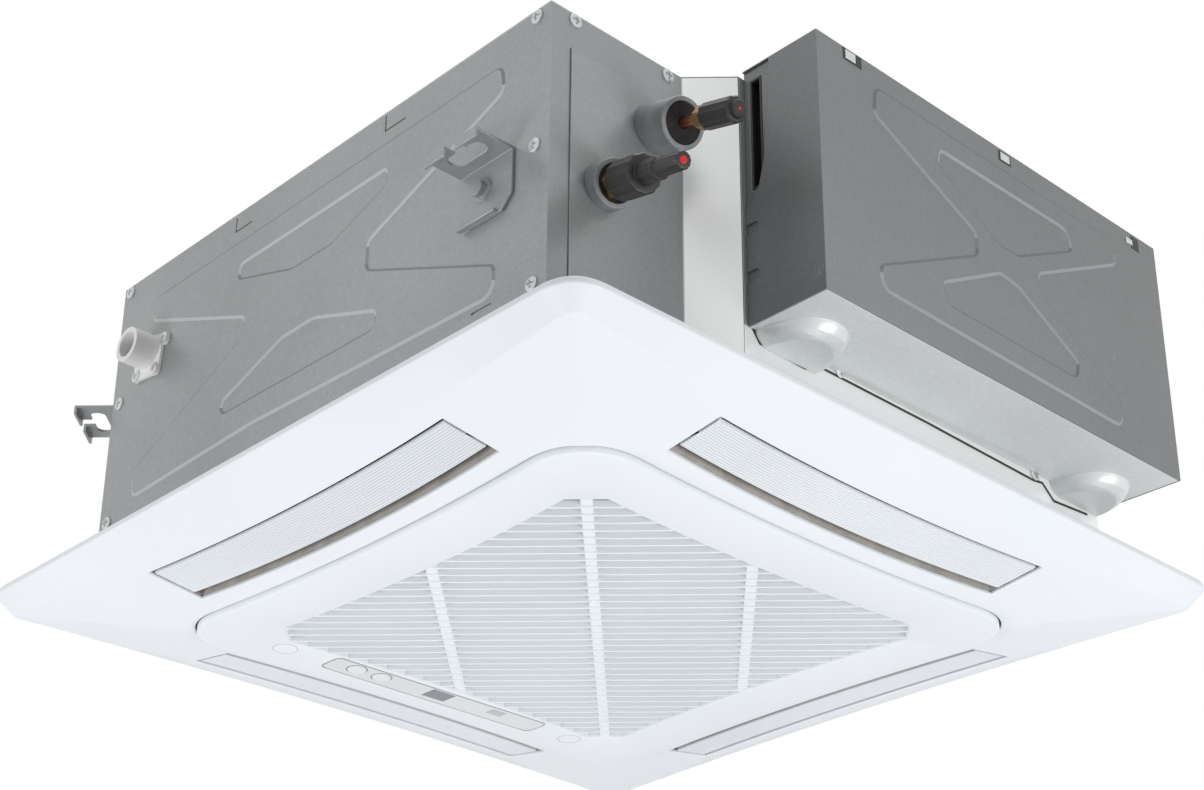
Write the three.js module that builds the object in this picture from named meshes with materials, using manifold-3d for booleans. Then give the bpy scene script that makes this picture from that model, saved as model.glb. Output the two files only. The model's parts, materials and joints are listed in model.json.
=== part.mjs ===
// A compact four-way ceiling cassette air conditioner, in millimetres, +Z up.
// The ceiling plane is z = 0: the steel body stands above it and the white panel hangs below it.
// -Y is the front plate, +X carries the control box, and the pipes leave from a notch between them.
import * as THREE from 'three';
import { mergeVertices } from 'three/addons/utils/BufferGeometryUtils.js';
import Module from 'manifold-3d';

const wasm = await Module();
wasm.setup();

// ---------------------------------------------------------------- driving dimensions
const past = 5;                  // how far a cutting tool runs past what it cuts
const fit = 0.2;                 // clearance between pieces that rest on each other
const play = 0.25;               // clearance round a pin, a shaft or a button

// Body
const bodyHalf = 285;            // centre to the outside of a side plate
const cornerCut = 49.5;          // 45 degree corners of the body
const bodyTop = 242.7;           // ceiling plane to the outside of the top plate
const bodyFoot = -14;            // the side plates end inside the panel
const sheet = 1.2;               // steel sheet
const notchDepth = 27;           // pipe notch, in from the +X wall
const notchLength = 115.8;       // from the front wall to the 45 degree piece of the notch
const linerThickness = 7.5;
const linerRoof = 8;
const panHeight = 42;
const panFloor = 16;             // pan bottom to the floor of its trough
const outlet = [bodyHalf - 57.5, bodyHalf - 9];   // air outlet through the pan, from the centre
const outletWall = 8;            // least wall between an outlet and the side plates

// Heat exchanger
const coilOuter = bodyHalf - 80;
const coilThickness = 30;
const coilBend = 44;             // how far before the corner the coil starts to bend
const coilOpening = 88;          // missing at the pipe corner, along each side
const coilHeadroom = 1.5;
const coilRoom = 7;              // between the coil and the walls of its trough
const panInnerBend = 30;
const endPlate = 1.6;
const plateLap = 3;              // an end plate stands out past the fins

// Fan, motor and bell mouth
const fanRadius = 138;
const fanEye = 98;
const fanZ = [42, 66, 148];      // shroud at the eye, shroud at the rim, back plate
const fanSkin = 2.4;
const fanBlades = 7;
const roundSides = 40;           // facets of the fan and the bell mouth
const bladeRoot = 84;
const bladeSweep = 38;           // degrees that a blade leans back
const hubRadius = 24;
const hubDrop = 16;
const shaftRadius = 5;
const shaftTop = 176;
const nutAcross = 9;
const nutHeight = 7;
const motorRadius = 54;
const motorZ = [158, 204];
const mountPlate = 2.5;
const mountPost = 6;
const mountRadius = 46;          // centre to a post of the motor mount
const linerPort = 72;            // hole in the liner's roof round the mount
const bellFlange = 150;
const bellThroat = 92;
const bellFlare = 36;
const bellSteps = 4;
const bellTop = 40;
const bellSkin = 2;
const panHole = 141;

// Panel, drawn as rings round the unit: middle of a side, bow towards its ends, where the corner starts
const panelHalf = bodyHalf + 38.5;
const rimHeight = 4.2;
const rimWidth = 8;
const rimCornerStart = panelHalf - 27.5;
const crease = [panelHalf - 28.6, 15.2, panelHalf - 25.9];
const creaseDepth = 19.2;
const underSlope = 0.14;         // the underside drops this much per mm towards the middle
const skin = 3;                  // panel wall
const slotOuter = [bodyHalf - 8.8, 7];
const slotInner = [bodyHalf - 56.7, 8.9];
const slotHalf = 163.1;

// Intake grille
const grille = [bodyHalf - 72.2, 6.74, bodyHalf - 116];
const grilleZ = [-34.6, -28];
const grilleEdge = 2.4;          // chamfer along the lower outer edge
const seamGap = 1.1;
const seamStep = 2;              // the recess wall stands back from the seam
const ledgeZ = -18;
const ledge = [grille[0] - 28.8, 4, grille[0] - 48.8];
const padSize = 9;
const padRadius = grille[0] - 15.8;
const padOffset = 75;
const foamOuter = [bodyHalf, 8, bodyHalf - 5];
const foamStandOff = 0.4;

const opening = [grille[0] - 48.3, 6.9, grille[0] - 61.2];
const slatPitch = 11.98;
const slatsEachSide = Math.floor(opening[0] * Math.SQRT2 / slatPitch) - 1;
const slatThickness = 1.6;
const slatZ = [-34.2, -28.6];
const crossRibs = [-111, 0, 111];
const crossRibWidth = 8;
const crossRibZ = [-32.4, -28.6];
const filterHalf = opening[0] + 7.5;
const filterCorner = 16;
const filterRim = 7;
const filterSheet = 0.8;
const filterThickness = 2.4;
const filterRibs = 5;
const hinge = [grille[0] - 1.8, -31.3];   // x and z of the grille's hinge line
const hingeY = 60;
const hingePin = 1;
const hingeSpan = 12;
const hookRadius = 2;
const hookHalf = 4;
const hookClear = 0.25;          // between a hook and the floor of its pocket

// Control strip on the grille, catches
const stripX = [19.2 - grille[0], 43.2 - grille[0]];
const stripY = [-108, 103.5];
const stripCorner = 5;
const stripThickness = 1.6;
const stripProud = 0.3;
const buttonX = stripX[0] + 14.2;
const buttonY = [-83.7, -59.8];
const buttonRadius = 7.4;
const buttonZ = [-35.8, -32.4];
const buttonTravel = 0.8;
const receiverX = [stripX[0] + 5, stripX[0] + 22.2];
const receiverY = [-13.7, 9.2];
const lampX = [stripX[0] + 9.6, stripX[0] + 20.3];
const lampY = [49, 64.7];
const windowSunk = 0.2;
const catchX = stripX[0] + 9.9;
const catchY = [64.9 - grille[0], grille[0] - 71.6];
const catchRadius = 9;
const catchHead = 2;
const catchSunk = 0.1;
const catchStem = 4;
const catchTravel = 1.2;

// Louvres
const louvreGap = { end: 3, outer: 3.5, inner: 8.7 };
const louvreThickness = 2.4;
const louvreInset = 0.6;
const louvreAxis = [bodyHalf - 27, -18.2];        // distance from the centre, and z
const louvrePin = 1.8;
const louvreEar = 3;
const louvreBoss = 4.6;
const louvreMotor = { length: 17, width: 24, height: 20 };

// Control box on the +X wall
const controlX = bodyHalf + 65.7;
const controlY = [notchLength + notchDepth - bodyHalf + 4.3, bodyHalf - cornerCut + 10.8];
const controlZ = [51.9, 247.8];
const controlLip = [[23.6, 232], [16.7, 169.3], [12, 152], [4, 141.3]];   // out from the wall, and z
const controlFlange = 34;
const coverNotch = { radius: 4, out: 7, z: [87.6, 122.9] };
const cableX = [bodyHalf + 5.2, bodyHalf + 15.8];
const cableZ = [152, 237.9];
const grommetWall = 1.6;
const grommetDepth = 4;
const bossDepth = 10;
const bossHeight = 0.6;          // a boss starts this far inside the bottom plate
const bossCrown = 1.5;           // a boss is a dome this many times its depth, cut flat
const bosses = [
  { y: [controlY[0] + 5.9, controlY[0] + 70.1], reach: 42 },
  { y: [controlY[1] - 67.7, controlY[1] - 3.3], reach: 40 },
];
const board = { y: [controlY[0] + 77.9, controlY[1] - 86.3], z: [88, 205], standOff: 6, thickness: 1.6 };
const boardPost = { inset: 8, radius: 3 };
const boardParts = [
  { y: 70, z: [110, 146], width: 36, depth: 29 },
  { y: 140, z: [150, 176], width: 40, depth: 23 },
];
const terminal = { y: [controlY[0] + 25.9, controlY[0] + 55.9], z: [92, 136], depth: 20 };

// Pipes: point on the pipe face, angles of the run, and what sits on it
const runs = {
  gas: { y: 45.6 - bodyHalf, z: 122, turn: 10, drop: 18, sleeve: [16.2, 16.5], tube: 6.35, bare: 0.6,
    nut: [12.2, 6], cap: [13.2, 25.3], tail: [7.6, 43], header: [9, 96], branches: [30, 80] },
  liquid: { y: 89.5 - bodyHalf, z: 186.3, turn: 4.4, drop: 18.8, sleeve: [17.5, 32.4], tube: 3.2, bare: 17.3,
    nut: [8.3, 6.4], cap: [8.9, 28.5], tail: [6, 3.6], header: [6, 60], branches: [15, 45] },
};
const runInside = 44;            // how far a run reaches in behind the pipe face
const branchRadius = 3.5;
const ribDepth = 0.7;
const ribCount = 18;
const faceReach = 60;            // half size of the tool that trims a sleeve at the pipe face
const capBore = 10;              // how far a pipe reaches into its cap
const coverPlateY = [17 - bodyHalf, 111 - bodyHalf];
const coverPlateZ = [45.6, 214];
const coverPlateSheet = 1;

// Drain
const spout = {
  x: cornerCut - bodyHalf + 48.4, z: 166.1, outer: 13.9, bore: 10, tail: 12.5, length: 21.7, flange: 2.6, inside: 22,
};
const spoutScrews = [[20, 4.8], [10.8, -17.4], [-14.5, -14.5]];
const spoutScrewPad = 5;
const spoutPlay = 0.3;
const spoutFlange = [
  [17.9, 2], [24, 7], [18, 10], [-6, 16], [-18, 8], [-18, -16], [-12, -19], [12, -22], [16, -16]];
const pump = {
  at: [64 - bodyHalf, 64 - bodyHalf], radius: 17, inlet: 12, motor: 14, levels: [30, 52], neck: 14, top: 118,
  sump: 23, port: 9,
};
const lap = 2;                   // how far stacked parts of one piece run into each other
const hoseRise = 24;             // the hose leaves the pump upwards this far before it bends
const hoseRun = 16;              // and runs straight this far into the spout
const hoseRadius = 9.4;
const hoseIn = 4;                // how far the hose goes into the spout
const floatRod = 1.8;
const floatRadius = 7;
const floatHeight = 9;
const floatRise = 8;
const floatReach = 25;           // pump axis to float axis
const floatStand = 8;            // the float rests this far above the pan
const floatArm = { half: 5, end: 6, foot: 24, height: 6 };
const floatStop = 2;             // the collar that keeps the float on its rod

// Hanger brackets
const bracket = { z: 146.7, sheet: 2, width: 50, reach: 32.5, drop: 43.3, lip: 5.4, corner: 9 };
const rod = { length: 31.6, width: 12, neck: 10, inset: 9, round: 5.4 };   // slot for the hanger rod
const frontBracketX = bodyHalf - notchDepth - 56.6;
const bolt = { radius: 5.6, height: 4.5, washer: 8.5, washerHeight: 1.4, drop: 20.6, aside: -2.8 };

// Sheet details: heads, slits and pressed beads, as x or y along the wall and z
const frontScrewInset = 12.8;    // from the notch's edge to the first column of screws
const screwRadius = 4.7;
const screwHeight = 2;
const frontScrews = [
  [-227, 236.7], [-226, 138.4], [-225, 38.3], [245.2, 236.2], [245.2, 138.2], [245.2, 38.5]];
const pipeScrews = [[20.5 - bodyHalf, 236.9], [103.7 - bodyHalf, 236.9]];
const slitWidth = 1.4;
const slits = [[[90.4, 239.7], [90.4, 227.1], [112, 227.1]], [[-85.3, 238.8], [-85.3, 227.1], [-65, 227.1]],
  [[189, 41.3], [207.6, 41.3]]];
// Raised fields pressed in the sheets: each corner is x or y along the wall, z, and the radius of its bend.
// The lobes inside a field stay level with the wall.
const pressHeight = 1;
const pressSlope = 2.2;
const pressRoot = 0.1;
const frontPressing = {
  outline: [
    [-187.5, 213.4, 4], [-187, 195.9, 5], [-60.2, 146, 9], [-62.8, 129.6, 8], [-195, 70, 8], [-192, 49.8, 6],
    [-45, 54.8, 80], [209, 47.4, 9], [208.6, 66.7, 5], [77.5, 120.9, 8], [77.5, 145.6, 8], [213.5, 195.5, 6],
    [211.5, 215, 7]],
  lobes: [
    [[-77, 181.5, 6], [-75, 195.6, 6], [97.5, 196, 6], [96.5, 180.4, 6], [37, 160.5, 20], [-8, 160.3, 30]],
    [[-85, 86, 7], [-15, 110, 20], [22, 110.5, 30], [93, 86, 6], [92, 71, 7], [-84, 73.6, 7]]],
};
const coverPressing = {
  outline: [
    [-79.5, 229.2, 6], [-81.8, 208.5, 6], [20.5, 162, 8], [21, 142.5, 10], [-84, 90, 6], [-82, 75.2, 7], [177, 71, 8],
    [175.5, 92.5, 6], [88.5, 141.5, 10], [88.5, 159.5, 8], [188, 209.5, 6], [190.5, 227, 8]],
  lobes: [
    [[-15, 213.4, 6], [-18.5, 198.5, 6], [45, 161.8, 16], [68, 162.3, 12], [135, 195.5, 7], [131, 213.5, 9]],
    [[-21.5, 106, 5], [44, 141, 12], [64, 138.5, 12], [129, 104.5, 6], [126.5, 88.2, 8], [-18, 89, 9]]],
};

// ---------------------------------------------------------------- finishes
const finish = (color, roughness, metalness = 0) => new THREE.MeshStandardMaterial({ color, roughness, metalness });
const steel = () => finish(0x8d9294, 0.42, 0.85);
const brightSteel = () => finish(0xd6dad8, 0.35, 0.9);
const darkSteel = () => finish(0x787d7f, 0.45, 0.8);
const white = () => finish(0xf0f4f8, 0.42);
const paleGrey = () => finish(0xe0e3e4, 0.45);
const copper = () => finish(0xa9623f, 0.35, 0.9);
const brass = () => finish(0x8a6a38, 0.4, 0.85);
const black = () => finish(0x1b1a1a, 0.5);

// ---------------------------------------------------------------- solids
const solidOf = (geometry) => {
  const bare = geometry.clone();
  bare.deleteAttribute('normal');
  bare.deleteAttribute('uv');
  const merged = mergeVertices(bare, 1e-4);
  const index = merged.index.array;
  const corners = [];
  for (let i = 0; i < index.length; i += 3) {
    const [a, b, c] = [index[i], index[i + 1], index[i + 2]];
    if (a !== b && b !== c && c !== a) corners.push(a, b, c);
  }
  return new wasm.Manifold(new wasm.Mesh({
    numProp: 3,
    vertProperties: new Float32Array(merged.attributes.position.array),
    triVerts: new Uint32Array(corners),
  }));
};

const geometryOf = (solid) => {
  const mesh = solid.getMesh();
  const geometry = new THREE.BufferGeometry();
  geometry.setAttribute('position', new THREE.BufferAttribute(new Float32Array(mesh.vertProperties), 3));
  geometry.setIndex(new THREE.BufferAttribute(new Uint32Array(mesh.triVerts), 1));
  geometry.computeVertexNormals();
  return geometry;
};

const join = (...solids) => solids.reduce((sum, next) => sum.add(next));
const cut = (solid, ...tools) => tools.reduce((rest, tool) => rest.subtract(tool), solid);

const placed = (solid, matrix) => {
  const geometry = geometryOf(solid);
  geometry.applyMatrix4(matrix);
  return solidOf(geometry);
};

const quarterTurn = (solid, quarters) => placed(solid, new THREE.Matrix4().makeRotationZ(quarters * Math.PI / 2));

// Things drawn flat with their depth along +z, stood up on a wall: front faces -Y, side faces +X.
const onFront = (solid) => placed(solid, new THREE.Matrix4().makeRotationX(Math.PI / 2));
const onSide = (solid) => placed(solid, new THREE.Matrix4().makeBasis(
  new THREE.Vector3(0, 1, 0), new THREE.Vector3(0, 0, 1), new THREE.Vector3(1, 0, 0)));

// Things made along +z, laid along a direction from a point.
const aim = (solid, from, direction) => {
  const turn = new THREE.Quaternion().setFromUnitVectors(new THREE.Vector3(0, 0, 1), direction);
  return placed(solid, new THREE.Matrix4().compose(from, turn, new THREE.Vector3(1, 1, 1)));
};

const box = (x, y, z) => {
  const geometry = new THREE.BoxGeometry(x[1] - x[0], y[1] - y[0], z[1] - z[0]);
  geometry.translate((x[0] + x[1]) / 2, (y[0] + y[1]) / 2, (z[0] + z[1]) / 2);
  return solidOf(geometry);
};

const prism = (points, z, holes = []) => {
  const shape = new THREE.Shape(points.map(([x, y]) => new THREE.Vector2(x, y)));
  shape.holes = holes.map((hole) => new THREE.Path(hole.map(([x, y]) => new THREE.Vector2(x, y))));
  const geometry = new THREE.ExtrudeGeometry(shape, { depth: z[1] - z[0], bevelEnabled: false });
  geometry.translate(0, 0, z[0]);
  return solidOf(geometry);
};

const round = (radius, z, [x, y] = [0, 0], sides = 24) => {
  const geometry = new THREE.CylinderGeometry(radius, radius, z[1] - z[0], sides);
  geometry.rotateX(Math.PI / 2);
  geometry.translate(x, y, (z[0] + z[1]) / 2);
  return solidOf(geometry);
};

const lathe = (profile, sides = 40) => {
  const points = [...profile, profile[0]].map(([r, z]) => new THREE.Vector2(r, z));
  const geometry = new THREE.LatheGeometry(points, sides);
  geometry.rotateX(Math.PI / 2);
  const solid = solidOf(geometry);
  if (solid.volume() > 0) return solid;
  geometry.setIndex([...geometry.index.array].reverse());
  return solidOf(geometry);
};

// A path moved sideways to its left; closed outlines run anticlockwise, so left is inwards.
const leftOf = ([ax, ay], [bx, by]) => {
  const length = Math.hypot(bx - ax, by - ay);
  return [(ay - by) / length, (bx - ax) / length];
};
const offsetPath = (points, distance, closed = true) => points.map((point, i) => {
  const count = points.length;
  const first = !closed && i === 0;
  const last = !closed && i === count - 1;
  const before = first ? null : leftOf(points[(i + count - 1) % count], point);
  const after = last ? null : leftOf(point, points[(i + 1) % count]);
  const a = before ?? after;
  const b = after ?? before;
  const scale = distance / (1 + a[0] * b[0] + a[1] * b[1]);
  return [point[0] + (a[0] + b[0]) * scale, point[1] + (a[1] + b[1]) * scale];
});

const strip = (points, width, depth) => prism(
  [...offsetPath(points, -width / 2, false), ...offsetPath(points, width / 2, false).reverse()], depth);

// A closed outline of straight sides joined by arcs. Each corner is x, y and the radius of the arc there.
const rounded = (corners, steps = 4) => corners.flatMap(([x, y, radius], i) => {
  const towards = ([px, py]) => {
    const length = Math.hypot(px - x, py - y);
    return [(px - x) / length, (py - y) / length];
  };
  const before = towards(corners[(i + corners.length - 1) % corners.length]);
  const after = towards(corners[(i + 1) % corners.length]);
  const half = Math.acos(before[0] * after[0] + before[1] * after[1]) / 2;
  const reach = radius / Math.tan(half);
  const sum = [before[0] + after[0], before[1] + after[1]];
  const share = radius / Math.sin(half) / Math.hypot(...sum);
  const centre = [x + sum[0] * share, y + sum[1] * share];
  const angleOf = (side) => Math.atan2(y + side[1] * reach - centre[1], x + side[0] * reach - centre[0]);
  const from = angleOf(before);
  const whole = angleOf(after) - from;
  const turn = whole - 2 * Math.PI * Math.round(whole / (2 * Math.PI));
  return Array.from({ length: steps + 1 }, (_, k) => {
    const angle = from + turn * k / steps;
    return [centre[0] + radius * Math.cos(angle), centre[1] + radius * Math.sin(angle)];
  });
});

// A raised field with sloping edges, standing on z = 0, with its root just inside the sheet.
const pressed = ({ outline: field, lobes }, widen = 1) => {
  const curve = (corners) => rounded(corners.map(([u, v, radius]) => [u * widen, v, radius]))
    .map(([u, v]) => new THREE.Vector2(u, v));
  const shape = new THREE.Shape(curve(field));
  shape.holes = lobes.map((lobe) => new THREE.Path(curve(lobe)));
  const geometry = new THREE.ExtrudeGeometry(shape, {
    depth: pressRoot, bevelThickness: pressHeight, bevelSize: pressSlope, bevelSegments: 1 });
  geometry.translate(0, 0, -pressRoot);
  return solidOf(geometry);
};

// ---------------------------------------------------------------- nodes
const group = new THREE.Group();
const add = (name, solid, material) => {
  const mesh = new THREE.Mesh(geometryOf(solid), material);
  mesh.name = name;
  group.add(mesh);
};

// ---------------------------------------------------------------- body sheet metal
const pipeFace = bodyHalf - notchDepth;
const straight = bodyHalf - cornerCut;
const notchEnd = notchLength - bodyHalf;
const corners = {
  frontLeft: [-straight, -bodyHalf], notchNear: [pipeFace, -bodyHalf], notchMid: [pipeFace, notchEnd],
  notchFar: [bodyHalf, notchEnd + notchDepth], rightFar: [bodyHalf, straight], rearRight: [straight, bodyHalf],
  rearLeft: [-straight, bodyHalf], leftFar: [-bodyHalf, straight], leftNear: [-bodyHalf, -straight],
};
const outline = Object.values(corners);
const roof = bodyTop - sheet;
const wallZ = [bodyFoot, roof - fit];

// A bent sheet with its outside on the given path, short of its neighbours at both ends.
const bentSheet = (path) => {
  const shorten = ([ax, ay], [bx, by]) => {
    const share = sheet / Math.hypot(bx - ax, by - ay);
    return [ax + (bx - ax) * share, ay + (by - ay) * share];
  };
  const outer = [shorten(path[0], path[1]), ...path.slice(1)];
  return prism([...outer, ...offsetPath(outer, sheet, false).reverse()], wallZ);
};
const screwHead = ([u, v], base = 0) => join(
  round(screwRadius, [base - 0.1, base + screwHeight * 0.6], [u, v], 14),
  round(screwRadius * 0.7, [base, base + screwHeight], [u, v], 14));

// The screws and pressings of the front wall spread with it, sideways.
const spread = (pipeFace - frontScrewInset) / Math.max(...frontScrews.map(([x]) => x));
const stretched = (path) => path.map(([x, z]) => [x * spread, z]);
const frontDetails = join(
  ...stretched(frontScrews).map((place) => screwHead(place)),
  pressed(frontPressing, spread));
const slitCuts = join(...slits.map((path) => strip(stretched(path), slitWidth, [-2 * sheet, sheet])));
const toFront = new THREE.Matrix4().makeTranslation(0, -bodyHalf, 0);
const toPipeFace = new THREE.Matrix4().makeTranslation(pipeFace, 0, 0);
const toSide = new THREE.Matrix4().makeTranslation(bodyHalf, 0, 0);

const spoutHole = placed(onFront(round(spout.tail + spoutPlay, [-2 * sheet, sheet], [spout.x, spout.z])), toFront);
const frontWall = cut(
  join(bentSheet([corners.leftNear, corners.frontLeft, corners.notchNear]),
    placed(onFront(frontDetails), toFront)),
  placed(onFront(slitCuts), toFront), spoutHole);
add('front_wall', frontWall, steel());

const directionOf = (run) => new THREE.Vector3(1, 0, 0)
  .applyAxisAngle(new THREE.Vector3(0, 1, 0), THREE.MathUtils.degToRad(run.drop))
  .applyAxisAngle(new THREE.Vector3(0, 0, 1), THREE.MathUtils.degToRad(-run.turn));
const startOf = (run) => new THREE.Vector3(pipeFace, run.y, run.z);
const runHole = (run) => aim(round(run.tube + play, [-12, 12], [0, 0], 20), startOf(run), directionOf(run));

const pipeWall = cut(
  join(bentSheet([corners.notchNear, corners.notchMid, corners.notchFar]),
    placed(onSide(join(...pipeScrews.map((place) => screwHead(place)))), toPipeFace)),
  ...Object.values(runs).map(runHole));
add('pipe_corner_wall', pipeWall, brightSteel());
add('right_wall', bentSheet([corners.notchFar, corners.rightFar, corners.rearRight]), steel());
add('rear_wall', bentSheet([corners.rearRight, corners.rearLeft, corners.leftFar]), steel());
add('left_wall', bentSheet([corners.leftFar, corners.leftNear]), steel());
add('top_plate', prism(outline, [roof, bodyTop]), steel());

const coverPlate = cut(
  placed(onSide(box(coverPlateY, coverPlateZ, [fit, fit + coverPlateSheet])), toPipeFace),
  ...Object.values(runs).map(runHole));
add('pipe_cover_plate', coverPlate, brightSteel());

// ---------------------------------------------------------------- liner, pan and heat exchanger
const panBottom = bodyFoot + fit;
const panTop = panBottom + panHeight;
const trough = panBottom + panFloor;
const inside = offsetPath(outline, sheet + fit);
const linerInside = offsetPath(outline, sheet + fit + linerThickness);
const linerTop = roof - fit;
const liner = cut(
  prism(inside, [panTop + fit, linerTop]),
  prism(linerInside, [panTop - 1, linerTop - linerRoof]),
  round(linerPort, [panTop, bodyTop]),
  placed(onFront(round(spout.outer + 1, [-3 * linerThickness, 0], [spout.x, spout.z])), toFront),
  ...Object.values(runs).map((run) => aim(
    round(run.tube + play, [-3 * linerThickness, 12], [0, 0], 20), startOf(run), directionOf(run))));
add('insulation_liner', liner, finish(0xdedcd6, 0.9));

const squareRing = (half, corner, steps = 4) => {
  const points = [];
  for (let side = 0; side < 4; side += 1) {
    for (let i = 0; i <= steps; i += 1) {
      const angle = (side - 1) * Math.PI / 2 + (i / steps) * Math.PI / 2;
      const [sx, sy] = [[1, -1], [1, 1], [-1, 1], [-1, -1]][side];
      points.push([
        sx * (half - corner) + corner * Math.cos(angle), sy * (half - corner) + corner * Math.sin(angle)]);
    }
  }
  return points;
};

const outlets = [0, 1, 2, 3].map((quarter) => quarterTurn(
  box([-slotHalf, slotHalf], [-outlet[1], -outlet[0]], [panBottom - 1, panTop + 1]), quarter));
const outletLimit = prism(offsetPath(outline, outletWall), [panBottom - 2, panTop + 2]);
const motorStart = slotHalf + fit + louvreBoss + fit;
const motorPocket = (quarter) => quarterTurn(box(
  [motorStart - 1, motorStart + louvreMotor.length + 1],
  [-louvreAxis[0] - louvreMotor.width / 2 - 1, -louvreAxis[0] + louvreMotor.width / 2 + 1],
  [panBottom - 1, louvreAxis[1] + louvreMotor.height]), quarter);
const pan = cut(
  prism(inside, [panBottom, panTop]),
  ...outlets.map((solid) => solid.intersect(outletLimit)),
  round(panHole, [panBottom - 1, panTop + 1], [0, 0], 48),
  prism(squareRing(coilOuter + coilRoom, coilBend + coilRoom), [trough, panTop + 1],
    [squareRing(coilOuter - coilThickness - coilRoom, panInnerBend).reverse()]),
  round(pump.sump, [trough, panTop + 1], pump.at),
  round(floatRadius + 3, [trough, panTop + 1], [pump.at[0] + floatReach, pump.at[1]]),
  box([pump.at[0], -coilOuter + 20], [pump.at[1], pump.at[1] + pump.sump], [trough, panTop + 1]),
  ...[0, 1, 2, 3].map(motorPocket));
add('drain_pan', pan, finish(0xe4e4e0, 0.85));

const coilZ = [trough + fit, linerTop - linerRoof - coilHeadroom];
const coilCut = coilOuter - coilOpening;
const coilGap = box(
  [coilCut, coilOuter + past], [-coilOuter - past, -coilCut], [coilZ[0] - past, coilZ[1] + past]);
const coil = cut(
  prism(squareRing(coilOuter, coilBend), coilZ,
    [squareRing(coilOuter - coilThickness, coilBend - coilThickness, 3).reverse()]),
  coilGap);
add('heat_exchanger', coil, finish(0xb9bec2, 0.45, 0.8));
const plateFace = [-coilOuter - plateLap, -coilOuter + coilThickness + plateLap];
add('coil_end_plate_front', box([coilCut + fit, coilCut + fit + endPlate], plateFace, coilZ), steel());
add('coil_end_plate_right', box(
  [-plateFace[1], -plateFace[0]], [-coilCut - fit - endPlate, -coilCut - fit], coilZ), steel());

// ---------------------------------------------------------------- fan, motor, bell mouth
const mountFoot = motorZ[1] + fit;
const mountPosts = [0, 1, 2, 3].map((i) => [
  mountRadius * Math.cos((i + 0.5) * Math.PI / 2), mountRadius * Math.sin((i + 0.5) * Math.PI / 2)]);
add('motor_mount', join(
  round(mountRadius + mountPost, [mountFoot, mountFoot + mountPlate], [0, 0], 32),
  ...mountPosts.map((at) => round(mountPost, [mountFoot, roof - fit], at, 12))), darkSteel());
const motorBore = shaftRadius + play;
add('fan_motor', lathe([[motorBore, motorZ[0]], [motorRadius - 12, motorZ[0]],
  [motorRadius - 8, motorZ[0] + 8], [motorRadius, motorZ[0] + 10], [motorRadius, motorZ[1] - 12],
  [motorRadius - 6, motorZ[1] - 6],
  [motorRadius - 6, motorZ[1]], [0, motorZ[1]], [0, shaftTop + 1], [motorBore, shaftTop + 1]], 32),
  finish(0xb8bcc0, 0.4, 0.7));

const hubFoot = fanZ[2] - hubDrop;
const shroud = lathe([[fanEye, fanZ[0]], [fanEye + 8, fanZ[0] + 12], [fanEye + 20, fanZ[0] + 20],
  [fanRadius, fanZ[1]], [fanRadius, fanZ[1] + fanSkin], [fanEye + 19, fanZ[0] + 20 + fanSkin],
  [fanEye + 6, fanZ[0] + 13], [fanEye - fanSkin, fanZ[0]]], roundSides);
const backPlate = lathe([[0, hubFoot], [hubRadius, hubFoot], [hubRadius + 12, fanZ[2] - 4], [fanRadius, fanZ[2]],
  [fanRadius, fanZ[2] + fanSkin], [hubRadius, fanZ[2] + fanSkin], [0, fanZ[2] + fanSkin]], roundSides);
const bladePath = [0, 1, 2, 3].map((i) => {
  const radius = bladeRoot + (fanRadius - 2 - bladeRoot) * i / 3;
  const angle = THREE.MathUtils.degToRad(-bladeSweep * i / 3);
  return [radius * Math.cos(angle), radius * Math.sin(angle)];
});
const blade = cut(
  strip(bladePath, fanSkin, [fanZ[0] + 14, fanZ[2] + 1]),
  lathe([[fanEye - 30, fanZ[0]], [fanEye - 20, fanZ[0] + 40], [fanEye + 6, fanZ[0] + 13.5],
    [fanEye + 20, fanZ[0] + 20.5], [fanRadius + 5, fanZ[1] + 1.5], [fanRadius + 5, fanZ[0]]], roundSides));
const fan = cut(
  join(shroud, backPlate, round(shaftRadius, [hubFoot - nutHeight - 3, shaftTop]),
    ...Array.from({ length: fanBlades }, (_, i) => placed(
      blade, new THREE.Matrix4().makeRotationZ(2 * Math.PI * i / fanBlades)))));
add('turbo_fan', fan, finish(0x3a3d40, 0.55));
add('fan_nut', cut(
  round(nutAcross, [hubFoot - fit - nutHeight, hubFoot - fit], [0, 0], 6),
  round(shaftRadius + play, [hubFoot - nutHeight - 2, hubFoot])), brightSteel());

// The bell mouth narrows on a quarter of an ellipse from its flange to its throat.
const bellFoot = panBottom - fit - bellSkin;
const bellLine = (grow) => Array.from({ length: bellSteps + 1 }, (_, i) => {
  const angle = Math.PI / 2 * i / bellSteps;
  return [bellThroat + bellFlare - (bellFlare - grow) * Math.sin(angle),
    bellTop - (bellTop - bellFoot - grow) * Math.cos(angle)];
});
add('bell_mouth', lathe([[bellFlange, bellFoot], ...bellLine(0), ...bellLine(bellSkin).reverse(),
  [bellFlange, bellFoot + bellSkin]], roundSides), white());

// ---------------------------------------------------------------- pipes and drain
const ribbed = ([radius, length], from) => {
  const points = [];
  for (let i = 0; i < ribCount * 2; i += 1) {
    const angle = Math.PI * i / ribCount;
    const reach = radius - (i % 2 ? ribDepth : 0);
    points.push([reach * Math.cos(angle), reach * Math.sin(angle)]);
  }
  return prism(points, [from, from + length]);
};

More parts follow.
